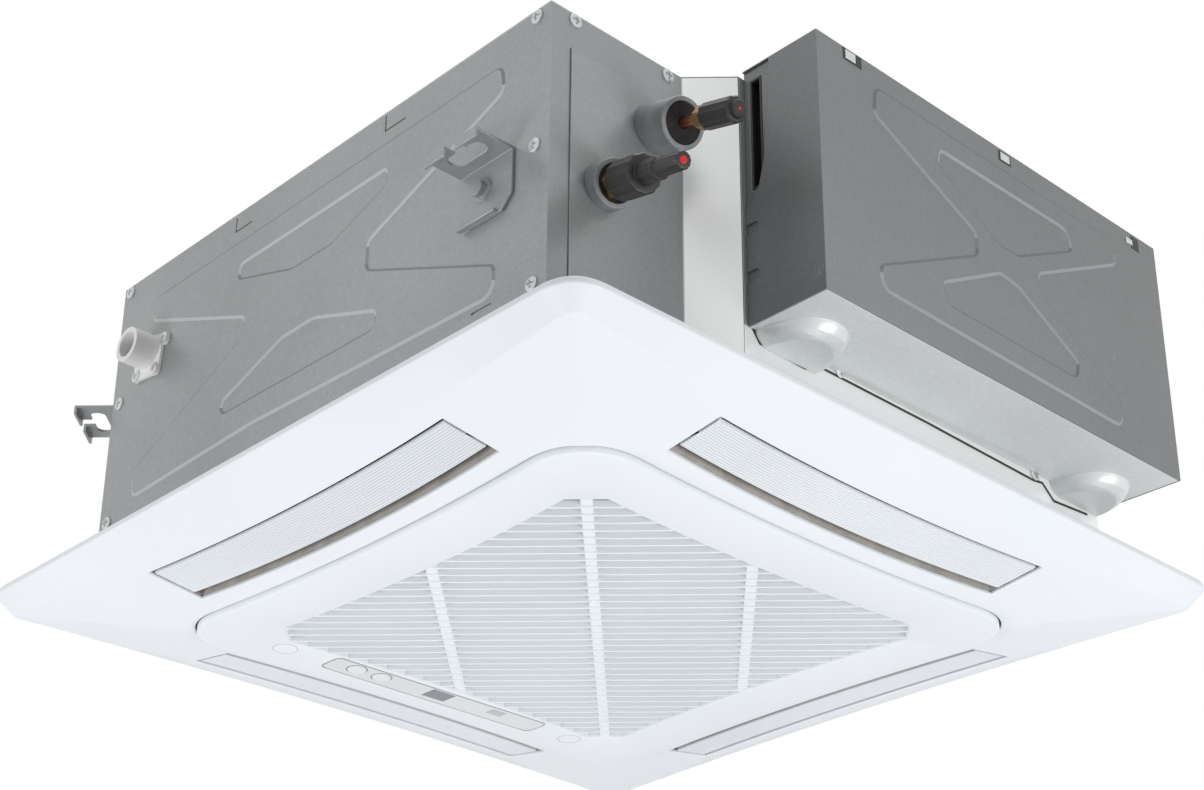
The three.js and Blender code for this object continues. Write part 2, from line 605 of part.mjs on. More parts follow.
// A branch leaves its header level and stops at an end plate of the coil.
const coilMiddle = -coilOuter + coilThickness / 2;
const plateOutside = coilCut + fit + endPlate;
const branch = (header, z, toFrontPlate) => {
  const target = toFrontPlate
    ? new THREE.Vector3(plateOutside, coilMiddle, z)
    : new THREE.Vector3(-coilMiddle, -plateOutside, z);
  const from = new THREE.Vector3(header.x, header.y, z);
  const direction = target.clone().sub(from).normalize();
  const square = Math.abs(toFrontPlate ? direction.x : direction.y);
  const stop = (branchRadius * Math.sqrt(1 - square ** 2) + fit) / square;
  return aim(round(branchRadius, [0, from.distanceTo(target) - stop], [0, 0], 12), from, direction);
};

for (const [name, run] of Object.entries(runs)) {
  const [start, direction] = [startOf(run), directionOf(run)];
  const onRun = (solid) => aim(solid, start, direction);
  const slant = run.sleeve[0] * Math.tan(Math.acos(direction.x));
  const clear = coverPlateSheet + 2 * fit;
  const faceCut = box([pipeFace - faceReach, pipeFace + clear], [run.y - faceReach, run.y + faceReach],
    [run.z - faceReach, run.z + faceReach]);
  add(`${name}_pipe_sleeve`, cut(
    onRun(lathe([[run.tube + play, -slant], [run.tube + play, run.sleeve[1]], [run.sleeve[0], run.sleeve[1]],
      [run.sleeve[0], -slant]], 32)), faceCut), finish(0x86898b, 0.55));

  const nutStart = run.sleeve[1] + run.bare;
  const nutEnd = nutStart + run.nut[1];
  const capStart = nutEnd + fit;
  const headerTop = start.z + runInside * Math.sin(THREE.MathUtils.degToRad(run.drop)) + 10;
  const inner = start.clone().addScaledVector(direction, -runInside);
  add(`${name}_pipe`, join(
    onRun(round(run.tube, [-runInside, capStart + capBore], [0, 0], 20)),
    round(run.header[0], [headerTop - run.header[1], headerTop], [inner.x, inner.y], 20),
    ...run.branches.map((drop) => branch(inner, headerTop - drop, name === 'gas'))), copper());
  const nutBore = round(run.tube + play, [nutStart - 1, nutEnd + 1], [0, 0], 20);
  add(`${name}_flare_nut`, onRun(cut(round(run.nut[0], [nutStart, nutEnd], [0, 0], 6), nutBore)), brass());
  add(`${name}_pipe_cap`, onRun(cut(
    join(ribbed(run.cap, capStart),
      round(run.tail[0], [capStart, capStart + run.cap[1] + run.tail[1]], [0, 0], 20)),
    round(run.tube + play, [capStart - 1, capStart + capBore + fit], [0, 0], 20))), black());
}

const spoutPad = ([u, v]) => round(spoutScrewPad, [fit, spout.flange], [u, v], 14);
add('drain_spout', placed(onFront(placed(cut(
  join(round(spout.outer, [fit, spout.length], [0, 0], 28), round(spout.tail, [-spout.inside, 1], [0, 0], 28),
    prism([...spoutFlange].reverse(), [fit, spout.flange]),
    ...spoutScrews.map(spoutPad), ...spoutScrews.map((at) => screwHead(at, spout.flange))),
  round(spout.bore, [-spout.inside - 1, spout.length + 1], [0, 0], 28)),
new THREE.Matrix4().makeTranslation(spout.x, spout.z, 0))), toFront), finish(0xbcbdbb, 0.5));

const pumpFoot = trough + fit;
const [pumpX, pumpY] = pump.at;
const floatX = pumpX + floatReach;
const floatLow = pumpFoot + floatStand;
const armZ = [floatLow + floatArm.foot, floatLow + floatArm.foot + floatArm.height];
const hosePoint = new THREE.Vector3(spout.x, -bodyHalf + spout.inside - hoseIn, spout.z);
const pumpPort = new THREE.Vector3(pumpX, pumpY, pump.top);
add('drain_pump', join(
  round(pump.inlet, [pumpFoot, pumpFoot + pump.levels[0]], pump.at),
  round(pump.radius, [pumpFoot + pump.levels[0] - lap, pumpFoot + pump.levels[1]], pump.at),
  round(pump.motor, [pumpFoot + pump.levels[1] - lap, pump.top - pump.neck], pump.at),
  round(pump.port, [pump.top - pump.neck - lap, pump.top], pump.at)), finish(0xd8d8d4, 0.5));
const hosePath = new THREE.CatmullRomCurve3([
  pumpPort.clone().add(new THREE.Vector3(0, 0, fit)), pumpPort.clone().add(new THREE.Vector3(0, 0, hoseRise)),
  hosePoint.clone().add(new THREE.Vector3(0, hoseRun, 0)), hosePoint]);
const hoseShape = new THREE.Shape().absarc(0, 0, hoseRadius, 0, 2 * Math.PI);
add('drain_hose', solidOf(new THREE.ExtrudeGeometry(hoseShape, {
  steps: 14, curveSegments: 6, bevelEnabled: false, extrudePath: hosePath })), finish(0x9a9c9c, 0.7));
add('float_switch', join(
  box([pumpX + pump.radius + fit, floatX + floatArm.end], [pumpY - floatArm.half, pumpY + floatArm.half], armZ),
  round(floatRod, [floatLow - lap, armZ[0] + lap], [floatX, pumpY], 14),
  round(floatRod + floatStop, [floatLow - 3 * lap, floatLow - fit], [floatX, pumpY], 14)), white());
add('float', cut(
  round(floatRadius, [floatLow, floatLow + floatHeight], [floatX, pumpY], 20),
  round(floatRod + play, [floatLow - 1, floatLow + floatHeight + 1], [floatX, pumpY], 14)),
finish(0xe6dfc8, 0.8));

// ---------------------------------------------------------------- control box
const boxBack = bodyHalf + fit;
const [boxFoot, boxTop] = controlZ;
const [boxNear, boxFar] = controlY;
const baseTop = boxTop - sheet - fit;
const baseFoot = boxFoot + sheet + fit;
const cableSlot = box(cableX, [boxNear - past, boxNear + past], cableZ);
const baseNear = boxNear + sheet + fit;
const baseFar = boxFar - sheet - fit;
const flangeX = boxBack + controlFlange;
add('control_box_base', cut(prism([
  [boxBack, baseNear], [flangeX, baseNear], [flangeX, baseNear + sheet], [boxBack + sheet, baseNear + sheet],
  [boxBack + sheet, baseFar - sheet], [flangeX, baseFar - sheet], [flangeX, baseFar], [boxBack, baseFar]],
[baseFoot, baseTop]), cableSlot), darkSteel());

// The cover is open towards the wall and at its foot; its near end stops at a shaped lip.
const lip = controlLip.map(([out, z]) => [bodyHalf + out, z]);
const lipWindow = [[boxBack - past, lip.at(-1)[1]], ...[...lip].reverse(), [lip[0][0], boxTop - sheet],
  [boxBack - past, boxTop - sheet]];
const notches = join(...coverNotch.z.map((z) => join(
  round(coverNotch.radius, [-2 * sheet, 2 * sheet], [bodyHalf + coverNotch.out, z]),
  box([boxBack - past, bodyHalf + coverNotch.out], [z - coverNotch.radius, z + coverNotch.radius],
    [-2 * sheet, 2 * sheet]))));
const coverShell = cut(
  join(box([boxBack, controlX], controlY, controlZ),
    placed(onSide(pressed(coverPressing)), new THREE.Matrix4().makeTranslation(controlX, 0, 0))),
  box([boxBack - past, controlX - sheet], [boxNear + sheet, boxFar - sheet], [boxFoot - past, boxTop - sheet]),
  placed(onFront(join(prism(lipWindow, [-sheet * 2, sheet * 2]), notches)),
    new THREE.Matrix4().makeTranslation(0, boxNear, 0)));
add('control_box_cover', coverShell, darkSteel());

const boss = ({ y: [near, far], reach }) => {
  const geometry = new THREE.SphereGeometry(1, 28, 24);
  geometry.scale(reach, (far - near) / 2, bossDepth * bossCrown);
  geometry.translate(boxBack, (near + far) / 2, boxFoot);
  return solidOf(geometry).intersect(
    box([boxBack, boxBack + reach + 1], [near - 1, far + 1], [boxFoot - bossDepth, boxFoot + bossHeight]));
};
add('control_box_bottom', join(
  box([boxBack, controlX - sheet - fit], [baseNear, baseFar], [boxFoot, boxFoot + sheet]),
  ...bosses.map(boss)), brightSteel());

const boardX = boxBack + sheet + fit;
const boardBack = boardX + board.standOff;
const posts = [board.y[0] + boardPost.inset, board.y[1] - boardPost.inset].flatMap(
  (y) => [board.z[0] + boardPost.inset, board.z[1] - boardPost.inset].map((z) => [y, z]));
add('control_board', join(
  box([boardBack, boardBack + board.thickness], board.y, board.z),
  placed(onSide(join(...posts.map((at) => round(boardPost.radius, [0, board.standOff + 0.5], at, 12)))),
    new THREE.Matrix4().makeTranslation(boardX, 0, 0)),
  ...boardParts.map((part) => box([boardBack + board.thickness / 2, boardX + part.depth],
    [board.y[0] + part.y, board.y[0] + part.y + part.width], part.z))), finish(0x2f5b3c, 0.6));
add('terminal_block', box([boardX, boardX + terminal.depth], terminal.y, terminal.z), black());
const grommet = (inset, y) => box(
  [cableX[0] + inset, cableX[1] - inset], y, [cableZ[0] + inset, cableZ[1] - inset]);
add('cable_grommet', cut(
  grommet(fit, [boxNear + sheet, boxNear + sheet + grommetDepth]),
  grommet(fit + grommetWall, [boxNear - past, boxNear + 2 * past])), finish(0x8e9090, 0.7));

// ---------------------------------------------------------------- hanger brackets
// Drawn on a wall that faces -Y with its outside at y = 0, then turned onto each wall.
const bracketHalf = bracket.width / 2;
const slotMiddle = bracket.reach - rod.inset - rod.width / 2;
const rodSlotShape = rounded([[-1, -1], [1, -1], [1, 1], [-1, 1]].map(([side, end]) => [
  side * rod.length / 2, end * rod.width / 2 - slotMiddle, rod.round]));
const boltAt = [bolt.aside, bracket.z - bolt.drop];
const bracketFoot = bracket.z - bracket.drop;
const lipDepth = [bracket.z - bracket.sheet - bracket.lip, bracket.z];
const hanger = join(
  cut(
    join(box([-bracketHalf, bracketHalf], [-bracket.reach, -fit], [bracket.z - bracket.sheet, bracket.z]),
      box([-bracketHalf, bracketHalf], [-bracket.reach, -bracket.reach + bracket.sheet], lipDepth)),
    prism(rodSlotShape, [bracket.z - 20, bracket.z + 5]),
    box([-rod.neck / 2, rod.neck / 2], [-bracket.reach - 1, -slotMiddle], [bracket.z - 20, bracket.z + 5])),
  onFront(prism([[-bracketHalf, bracket.z], [-bracketHalf, bracketFoot + bracket.corner],
    [-bracketHalf + bracket.corner, bracketFoot], [bracketHalf - bracket.corner, bracketFoot],
    [bracketHalf, bracketFoot + bracket.corner], [bracketHalf, bracket.z]], [fit, fit + bracket.sheet])),
  onFront(join(
    round(bolt.washer, [fit, fit + bracket.sheet + bolt.washerHeight], boltAt, 20),
    round(bolt.radius, [fit, fit + bracket.sheet + bolt.washerHeight + bolt.height], boltAt))));
const cornerMiddle = bodyHalf - cornerCut / 2;
const hangerAt = (x, y, angle) => placed(hanger, new THREE.Matrix4().makeTranslation(x, y, 0)
  .multiply(new THREE.Matrix4().makeRotationZ(THREE.MathUtils.degToRad(angle))));
add('front_hanger_bracket', hangerAt(frontBracketX, -bodyHalf, 0), brightSteel());
add('left_hanger_bracket', hangerAt(-cornerMiddle, -cornerMiddle, -45), brightSteel());
add('rear_hanger_bracket', hangerAt(-cornerMiddle, cornerMiddle, -135), brightSteel());
add('right_hanger_bracket', hangerAt(cornerMiddle, cornerMiddle, 135), brightSteel());

// ---------------------------------------------------------------- panel
// One side runs along -Y; the corner is a smooth bend, or a straight cut.
const sidePoints = 6;
const cornerPoints = 5;
const ringOutline = ([middle, bow, end], straightCorner = false) => {
  const reach = middle + bow;
  const slope = 2 * bow / end;
  const tip = end + (reach - end) / (1 - slope);
  const side = [];
  for (let i = 0; i <= sidePoints; i += 1) {
    const x = end * (2 * i / sidePoints - 1);
    side.push([x, -(middle + bow * (x / end) ** 2)]);
  }
  if (!straightCorner) {
    for (let i = 1; i < cornerPoints; i += 1) {
      const t = i / cornerPoints;
      const [a, b, c] = [(1 - t) ** 2, 2 * t * (1 - t), t * t];
      side.push([a * end + b * tip + c * reach, -(a * reach + b * tip + c * end)]);
    }
  }
  return [0, 1, 2, 3].flatMap((quarter) => side.map(([x, y]) => {
    const [cos, sin] = [[1, 0], [0, 1], [-1, 0], [0, -1]][quarter];
    return [x * cos - y * sin, x * sin + y * cos];
  }));
};
const wider = ([middle, bow, end], by) => [middle + by, bow, end + by];

const underside = (distance) => -(creaseDepth + (crease[0] - distance) * underSlope);
const facetZ = ([x, y]) => underside(Math.max(Math.abs(x), Math.abs(y)));
const level = (ring, z) => ringOutline(ring).map(([x, y]) => [x, y, z]);
const onFacet = (ring, lift) => ringOutline(ring).map(([x, y]) => [x, y, facetZ([x, y]) + lift]);

// A closed skin through a loop of rings that all have the same number of points.
const ringSolid = (rings) => {
  const count = rings[0].length;
  const index = [];
  rings.forEach((_, r) => {
    const next = (r + 1) % rings.length;
    for (let i = 0; i < count; i += 1) {
      const j = (i + 1) % count;
      index.push(
        r * count + i, r * count + j, next * count + j, r * count + i, next * count + j, next * count + i);
    }
  });
  const build = (order) => {
    const geometry = new THREE.BufferGeometry();
    geometry.setAttribute('position', new THREE.Float32BufferAttribute(rings.flat(2), 3));
    geometry.setIndex(order);
    return solidOf(geometry);
  };
  const solid = build(index);
  return solid.volume() > 0 ? solid : build([...index].reverse());
};

const rim = [panelHalf, 0, rimCornerStart];
const seam = wider(grille, seamGap);
const recess = wider(seam, seamStep);
const recessBack = wider(recess, skin);
const creaseBack = wider(crease, -skin);
const panelShell = ringSolid([
  level(rim, 0), level(rim, -rimHeight), onFacet(crease, 0), onFacet(seam, 0), onFacet(seam, skin),
  onFacet(recess, skin),
  level(recess, ledgeZ), level(ledge, ledgeZ), level(ledge, ledgeZ + skin), level(recessBack, ledgeZ + skin),
  onFacet(recessBack, skin), onFacet(creaseBack, skin), level(wider(rim, -skin), -rimHeight + skin),
  level(wider(rim, -rimWidth), 0)]);

const bowed = ([middle, bow], x) => middle + bow * (x / slotHalf) ** 2;
const slotShape = (half, outerGap, innerGap) => {
  const xs = Array.from({ length: sidePoints + 1 }, (_, i) => half * (2 * i / sidePoints - 1));
  return [...xs.map((x) => [x, -bowed(slotOuter, x) + outerGap]),
    ...[...xs].reverse().map((x) => [x, -bowed(slotInner, x) - innerGap])];
};
const slotCut = prism(slotShape(slotHalf, 0, 0), [-60, bodyFoot + 30]);
const [axisOut, axisZ] = louvreAxis;
const bossHalf = 6;
const louvreBossWall = 1.6;
const alongX = (radius, x, sides = 16) => {
  const rodAlong = onSide(round(radius, x, [0, 0], sides));
  return placed(rodAlong, new THREE.Matrix4().makeTranslation(0, -axisOut, axisZ));
};
const louvreBosses = [-1, 1].map((end) => {
  const x = [slotHalf + fit, slotHalf + fit + louvreBoss].map((value) => value * end).sort((a, b) => a - b);
  return cut(
    box(x, [-axisOut - bossHalf, -axisOut + bossHalf],
      [underside(axisOut) + skin / 2, axisZ + louvrePin + louvreBossWall]),
    alongX(louvrePin + play, [x[0] - 1, x[1] + 1]));
});
const pads = [0, 1, 3].flatMap((quarter) => [-padOffset, padOffset].map((offset) => quarterTurn(
  box([offset - padSize / 2, offset + padSize / 2], [-padRadius - padSize / 2, -padRadius + padSize / 2],
    [grilleZ[1] + fit, ledgeZ + 1]), quarter === 1 ? 2 : quarter)));
const [hingeX, hingeZ] = hinge;
const alongHinge = (radius, y) => onFront(round(radius, [-y[1], -y[0]], [hingeX, hingeZ], 20));
const around = (side, half) => [side * hingeY - half, side * hingeY + half];
const hingeHook = (side) => cut(
  join(alongHinge(hookRadius, around(side, hookHalf)),
    box([hingeX - hookRadius, hingeX + hookRadius], around(side, hookHalf), [hingeZ, ledgeZ + 1])),
  alongHinge(hingePin + play, around(side, hookHalf + 1)));
const panel = cut(
  join(panelShell, ...pads, ...[1, -1].map(hingeHook)),
  ...[0, 1, 2, 3].map((quarter) => quarterTurn(slotCut, quarter)));
add('decorative_panel', join(panel, ...[0, 1, 2, 3].flatMap((quarter) => louvreBosses.map(
  (solid) => quarterTurn(solid, quarter)))), white());

// The duct foam lies on the panel's back and closes the joint to the drain pan.
const foamInner = wider(recessBack, foamStandOff);
const foamTop = bodyFoot - fit;
const foam = ringSolid([
  onFacet(foamOuter, skin + fit), onFacet(foamInner, skin + fit), level(foamInner, foamTop),
  level(foamOuter, foamTop)]);
const foamPocket = (quarter) => quarterTurn(join(
  box([-slotHalf - louvreBoss - 2, slotHalf], [-axisOut - 8, -axisOut + 8], [-60, foamTop + 5]),
  box([slotHalf - 1, motorStart + louvreMotor.length + 1],
    [-axisOut - louvreMotor.width / 2 - 1, -axisOut + louvreMotor.width / 2 + 1], [-60, foamTop + 5])), quarter);
add('duct_foam', cut(foam,
  ...[0, 1, 2, 3].map((quarter) => quarterTurn(slotCut, quarter)),
  ...[0, 1, 2, 3].map(foamPocket)), finish(0xb9b1aa, 0.9));

// ---------------------------------------------------------------- louvres and their motors
const louvreHalf = slotHalf - louvreGap.end;
const blank = (lift) => {
  const edge = slotShape(louvreHalf, louvreGap.outer, louvreGap.inner);
  return edge.map(([x, y]) => [x, y, underside(-y) + lift]);
};
const louvreBlade = (() => {
  const [low, high] = [blank(louvreInset), blank(louvreInset + louvreThickness)];
  const count = low.length;
  const columns = sidePoints + 1;
  const index = [];
  for (let i = 0; i < count; i += 1) {
    const j = (i + 1) % count;
    index.push(i, j, count + j, i, count + j, count + i);
  }
  for (let i = 0; i < columns - 1; i += 1) {
    const [a, b, c, d] = [i, i + 1, count - 2 - i, count - 1 - i];
    index.push(a, c, b, a, d, c, count + a, count + b, count + c, count + a, count + c, count + d);
  }
  const geometry = new THREE.BufferGeometry();
  geometry.setAttribute('position', new THREE.Float32BufferAttribute([...low, ...high].flat(), 3));
  geometry.setIndex(index);
  return solidOf(geometry);
})();
const louvre = join(louvreBlade, ...[-1, 1].map((end) => {
  const span = (from, to) => [from, to].map((value) => value * end).sort((a, b) => a - b);
  return join(
    box(span(louvreHalf - louvreEar, louvreHalf), [-axisOut - 4, -axisOut + 4],
      [underside(axisOut) + louvreInset + 1, axisZ + louvrePin]),
    alongX(louvrePin, span(louvreHalf - louvreEar + 1, slotHalf + louvreBoss)));
}));
const sides = ['front', 'right', 'rear', 'left'];
sides.forEach((side, quarter) => add(`${side}_louvre`, quarterTurn(louvre, quarter), white()));
sides.forEach((side, quarter) => add(`${side}_louvre_motor`, quarterTurn(box(
  [motorStart, motorStart + louvreMotor.length],
  [-axisOut - louvreMotor.width / 2, -axisOut + louvreMotor.width / 2],
  [underside(axisOut + louvreMotor.width / 2) + skin + fit, underside(axisOut) + skin + louvreMotor.height]),
quarter), finish(0x9aa0a5, 0.4, 0.7)));

// ---------------------------------------------------------------- intake grille
const openingRing = ringOutline(opening, true);
const openingInner = [opening[0] - 8, 0, opening[2] - 8];
const frame = cut(
  ringSolid([
    level(wider(grille, -grilleEdge), grilleZ[0]), level(grille, grilleZ[0] + grilleEdge),
    level(grille, grilleZ[1]),
    level(openingInner, grilleZ[1]), level(openingInner, grilleZ[0])]),
  prism(openingRing, [grilleZ[0] - 1, grilleZ[1] + 1]));

// Slats run along one diagonal and the cross ribs along the other.
const slatReach = opening[0] * Math.SQRT2 + 10;
const slats = Array.from({ length: 2 * slatsEachSide + 1 }, (_, i) => {
  const middle = (i - slatsEachSide) * slatPitch;
  return box([-slatReach, slatReach], [middle - slatThickness / 2, middle + slatThickness / 2], slatZ);
});
const ribs = crossRibs.map((middle) => box(
  [middle - crossRibWidth / 2, middle + crossRibWidth / 2], [-slatReach, slatReach], crossRibZ));
const lattice = placed(join(...slats, ...ribs), new THREE.Matrix4().makeRotationZ(Math.PI / 4))
  .intersect(prism(offsetPath(openingRing, -2), [grilleZ[0], grilleZ[1]]));

const stripZ = [grilleZ[0] - stripProud, grilleZ[0] - stripProud + stripThickness];
const stripShape = (grow) => {
  const [x, y, c] = [[stripX[0] - grow, stripX[1] + grow], [stripY[0] - grow, stripY[1] + grow], stripCorner];
  return [[x[0] + c, y[0]], [x[1] - c, y[0]], [x[1], y[0] + c], [x[1], y[1] - c],
    [x[1] - c, y[1]], [x[0] + c, y[1]], [x[0], y[1] - c], [x[0], y[0] + c]];
};
const belowGrille = grilleZ[0] - 5;
const pocketRoof = stripZ[1] + fit;
const buttonRoof = buttonZ[1] + buttonTravel + fit;
const catchZ = [grilleZ[0] + catchSunk, grilleZ[0] + catchSunk + catchHead];
const pinSpan = (side) => around(side, hingeSpan / 2 + 1);
add('intake_grille', join(
  cut(join(frame, lattice),
    prism(stripShape(fit), [belowGrille, pocketRoof]),
    ...buttonY.map((y) => round(buttonRadius + play, [belowGrille, buttonRoof], [buttonX, y])),
    ...catchY.map((y) => round(catchRadius + play, [belowGrille, catchZ[1] + catchTravel + fit], [catchX, y])),
    ...catchY.map((y) => round(catchStem + play, [belowGrille, grilleZ[1] + 1], [catchX, y])),
    ...[1, -1].map((side) => box([hingeX - hookRadius - hookClear, panelHalf], around(side, hingeSpan / 2),
      [hingeZ - hookRadius - hookClear, 0]))),
  ...[1, -1].map((side) => alongHinge(hingePin, pinSpan(side)))), white());

const filterOutline = (half) => {
  const c = half - filterCorner;
  return [[-c, -half], [c, -half], [half, -c], [half, c], [c, half], [-c, half], [-half, c], [-half, -c]];
};
const filterZ = [grilleZ[1] + fit, grilleZ[1] + fit + filterThickness];
const filterInner = filterOutline(filterHalf - filterRim);
const filterGrid = Array.from({ length: filterRibs }, (_, i) => {
  const middle = (2 * (i + 1) / (filterRibs + 1) - 1) * filterHalf;
  return join(box([middle - 1, middle + 1], [-filterHalf, filterHalf], filterZ),
    box([-filterHalf, filterHalf], [middle - 1, middle + 1], filterZ));
});
const filterTray = cut(
  prism(filterOutline(filterHalf), filterZ), prism(filterInner, [filterZ[0] + filterSheet, filterZ[1] + 1]));
const filterRibLimit = prism(
  filterOutline(filterHalf - filterRim / 2), [filterZ[0] + filterSheet / 2, filterZ[1] - filterSheet / 2]);
add('air_filter', join(filterTray, join(...filterGrid).intersect(filterRibLimit)), finish(0xd9dde1, 0.8));

const windowBox = (x, y, shrink) => [[x[0] + shrink, x[1] - shrink], [y[0] + shrink, y[1] - shrink]];
const windowCut = (x, y) => box(...windowBox(x, y, 0), [stripZ[0] - 1, stripZ[1] + 1]);
const windowPane = (x, y) => box(...windowBox(x, y, fit), [stripZ[0] + windowSunk, stripZ[1]]);
add('control_strip', cut(
  prism(stripShape(0), stripZ),
  ...buttonY.map((y) => round(buttonRadius + play, [stripZ[0] - 1, stripZ[1] + 1], [buttonX, y])),
  windowCut(receiverX, receiverY), windowCut(lampX, lampY)), paleGrey());
add('receiver_window', windowPane(receiverX, receiverY), finish(0x8c9099, 0.25));
add('lamp_window', windowPane(lampX, lampY), finish(0xbfbcbc, 0.35));
buttonY.forEach((y, i) => add(`button_${i + 1}`, round(buttonRadius, buttonZ, [buttonX, y]), white()));
catchY.forEach((y, i) => add(`grille_catch_${i + 1}`, join(
  round(catchRadius, catchZ, [catchX, y]),
  round(catchStem, [catchZ[0] + 0.5, grilleZ[1] + catchSunk + catchHead], [catchX, y])), white()));

export default group;
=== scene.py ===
"""A compact four-way ceiling cassette air conditioner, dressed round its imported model."""
import json
import math
import bmesh
import bpy
import numpy as np
from mathutils import Matrix, Vector

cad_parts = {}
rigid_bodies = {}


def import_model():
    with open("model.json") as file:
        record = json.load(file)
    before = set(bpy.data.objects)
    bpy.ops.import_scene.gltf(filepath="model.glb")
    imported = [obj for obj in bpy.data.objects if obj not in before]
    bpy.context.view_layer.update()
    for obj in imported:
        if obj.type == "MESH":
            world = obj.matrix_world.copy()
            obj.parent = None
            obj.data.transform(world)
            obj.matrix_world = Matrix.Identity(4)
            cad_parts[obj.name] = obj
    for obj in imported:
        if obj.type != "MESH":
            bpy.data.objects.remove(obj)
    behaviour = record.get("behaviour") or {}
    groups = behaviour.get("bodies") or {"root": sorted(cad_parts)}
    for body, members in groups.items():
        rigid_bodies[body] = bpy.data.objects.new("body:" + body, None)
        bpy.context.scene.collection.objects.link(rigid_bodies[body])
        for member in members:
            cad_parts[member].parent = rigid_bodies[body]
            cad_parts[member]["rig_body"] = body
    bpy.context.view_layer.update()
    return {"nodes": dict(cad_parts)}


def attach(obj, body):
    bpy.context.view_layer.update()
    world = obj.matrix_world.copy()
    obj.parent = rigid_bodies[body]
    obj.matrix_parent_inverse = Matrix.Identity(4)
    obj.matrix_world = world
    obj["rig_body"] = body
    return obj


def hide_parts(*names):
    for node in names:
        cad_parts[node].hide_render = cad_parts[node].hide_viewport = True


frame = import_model()
MM = 0.001


# ---- Studio ------------------------------------------------------------------------------
# The unit hangs in a plain white studio and is seen from below. The floor is a pale sheet well
# under the camera, and the camera is a long lens set off centre, as the picture was framed.
def camera(place, azimuth, elevation, roll, focal, centre, size=(1204, 790)):
    """place in mm; azimuth 0 looks along +Y, elevation is that of the camera seen from the unit."""
    a, e, r = (math.radians(v) for v in (azimuth, elevation, roll))
    ahead = Vector((-math.sin(a) * math.cos(e), math.cos(a) * math.cos(e), -math.sin(e)))
    right = ahead.cross(Vector((0, 0, 1))).normalized()
    up = right.cross(ahead)
    right, up = right * math.cos(r) + up * math.sin(r), up * math.cos(r) - right * math.sin(r)
    data = bpy.data.cameras.new("camera")
    data.sensor_width = 36.0
    data.lens = focal * 36.0 / size[0]
    data.shift_x = (size[0] / 2 - centre[0]) / size[0]
    data.shift_y = (centre[1] - size[1] / 2) / size[0]
    data.clip_end = 50
    cam = bpy.data.objects.new("camera", data)
    cam.matrix_world = Matrix.Translation(Vector(place) * MM) @ Matrix((right, up, -ahead)).transposed().to_4x4()
    bpy.context.collection.objects.link(cam)
    bpy.context.scene.camera = cam


LAMP_TARGET = Vector((0, 0, 0.05))


def lamp(name, place, size, watts):
    """A soft square lamp turned to the lamps' target; the camera itself doesn't see it."""
    data = bpy.data.lights.new(name, "AREA")
    data.energy, data.size = watts, size
    ob = bpy.data.objects.new(name, data)
    ob.location = place
    ob.rotation_euler = (LAMP_TARGET - Vector(place)).to_track_quat("-Z", "Y").to_euler()
    ob.visible_camera = False
    bpy.context.collection.objects.link(ob)


bpy.context.scene.view_settings.view_transform = "Standard"
camera((1101.49, -1031.45, -649.59), 46.4, -25.17, 0.22, 2207.11, (614.38, 518.91))
lamp("key_left", (-0.9, -1.9, -1.0), 0.8, 19)
lamp("key_right", (2.3, 0.5, -1.2), 0.8, 25)
lamp("under", (0.8, 0.1, -1.5), 1.2, 4)
noon = bpy.data.lights.new("noon", "SUN")
noon.energy, noon.angle = 1.3, math.radians(40)
noon_ob = bpy.data.objects.new("noon", noon)
bpy.context.collection.objects.link(noon_ob)

world = bpy.data.worlds.new("white_room")
bpy.context.scene.world = world
world.use_nodes = True
wn, wl = world.node_tree.nodes, world.node_tree.links
wn.clear()
path = wn.new("ShaderNodeLightPath")
seen = wn.new("ShaderNodeMath")
seen.operation = "MAXIMUM"
mirrored = wn.new("ShaderNodeMath")
mirrored.operation = "MAXIMUM"
wl.new(path.outputs["Is Camera Ray"], seen.inputs[0])
wl.new(path.outputs["Is Transmission Ray"], seen.inputs[1])
wl.new(seen.outputs[0], mirrored.inputs[0])
wl.new(path.outputs["Is Glossy Ray"], mirrored.inputs[1])
room = wn.new("ShaderNodeBackground")
room.inputs["Color"].default_value = (0.965, 0.985, 1.0, 1)
room.inputs["Strength"].default_value = 0.36
white = wn.new("ShaderNodeBackground")
white.inputs["Color"].default_value = (1, 1, 1, 1)
mix = wn.new("ShaderNodeMixShader")
sky = wn.new("ShaderNodeOutputWorld")
wl.new(mirrored.outputs[0], mix.inputs["Fac"])
wl.new(room.outputs[0], mix.inputs[1])
wl.new(white.outputs[0], mix.inputs[2])
wl.new(mix.outputs[0], sky.inputs["Surface"])

FLOOR_HALF, FLOOR_Z = 14, -3.2
floor_data = bpy.data.meshes.new("floor")
floor_data.from_pydata([(x * FLOOR_HALF, y * FLOOR_HALF, FLOOR_Z)
                        for x, y in ((-1, -1), (1, -1), (1, 1), (-1, 1))], [], [(0, 1, 2, 3)])
floor = bpy.data.objects.new("floor", floor_data)
bpy.context.collection.objects.link(floor)
floor_paint = bpy.data.materials.new("floor_paint")
floor_paint.use_nodes = True
floor_paint.node_tree.nodes["Principled BSDF"].inputs["Base Color"].default_value = (0.86, 0.86, 0.86, 1)
floor_data.materials.append(floor_paint)


# ---- Galvanised side plates and top ------------------------------------------------------
# Thin zinc-coated sheet, bent at the corners and screwed together. The zinc shows a faint
# spangle of crystals, slow clouds of tone and patches of short scuffs.
def group(name, inputs, outputs):
    """An empty shader node group with named float inputs and the outputs asked for."""
    tree = bpy.data.node_groups.new(name, "ShaderNodeTree")
    for label, value in inputs:
        socket = tree.interface.new_socket(name=label, in_out="INPUT", socket_type="NodeSocketFloat")
        socket.default_value = value
    for label in outputs:
        tree.interface.new_socket(name=label, in_out="OUTPUT", socket_type="NodeSocketFloat")
    return tree, tree.nodes.new("NodeGroupInput"), tree.nodes.new("NodeGroupOutput")


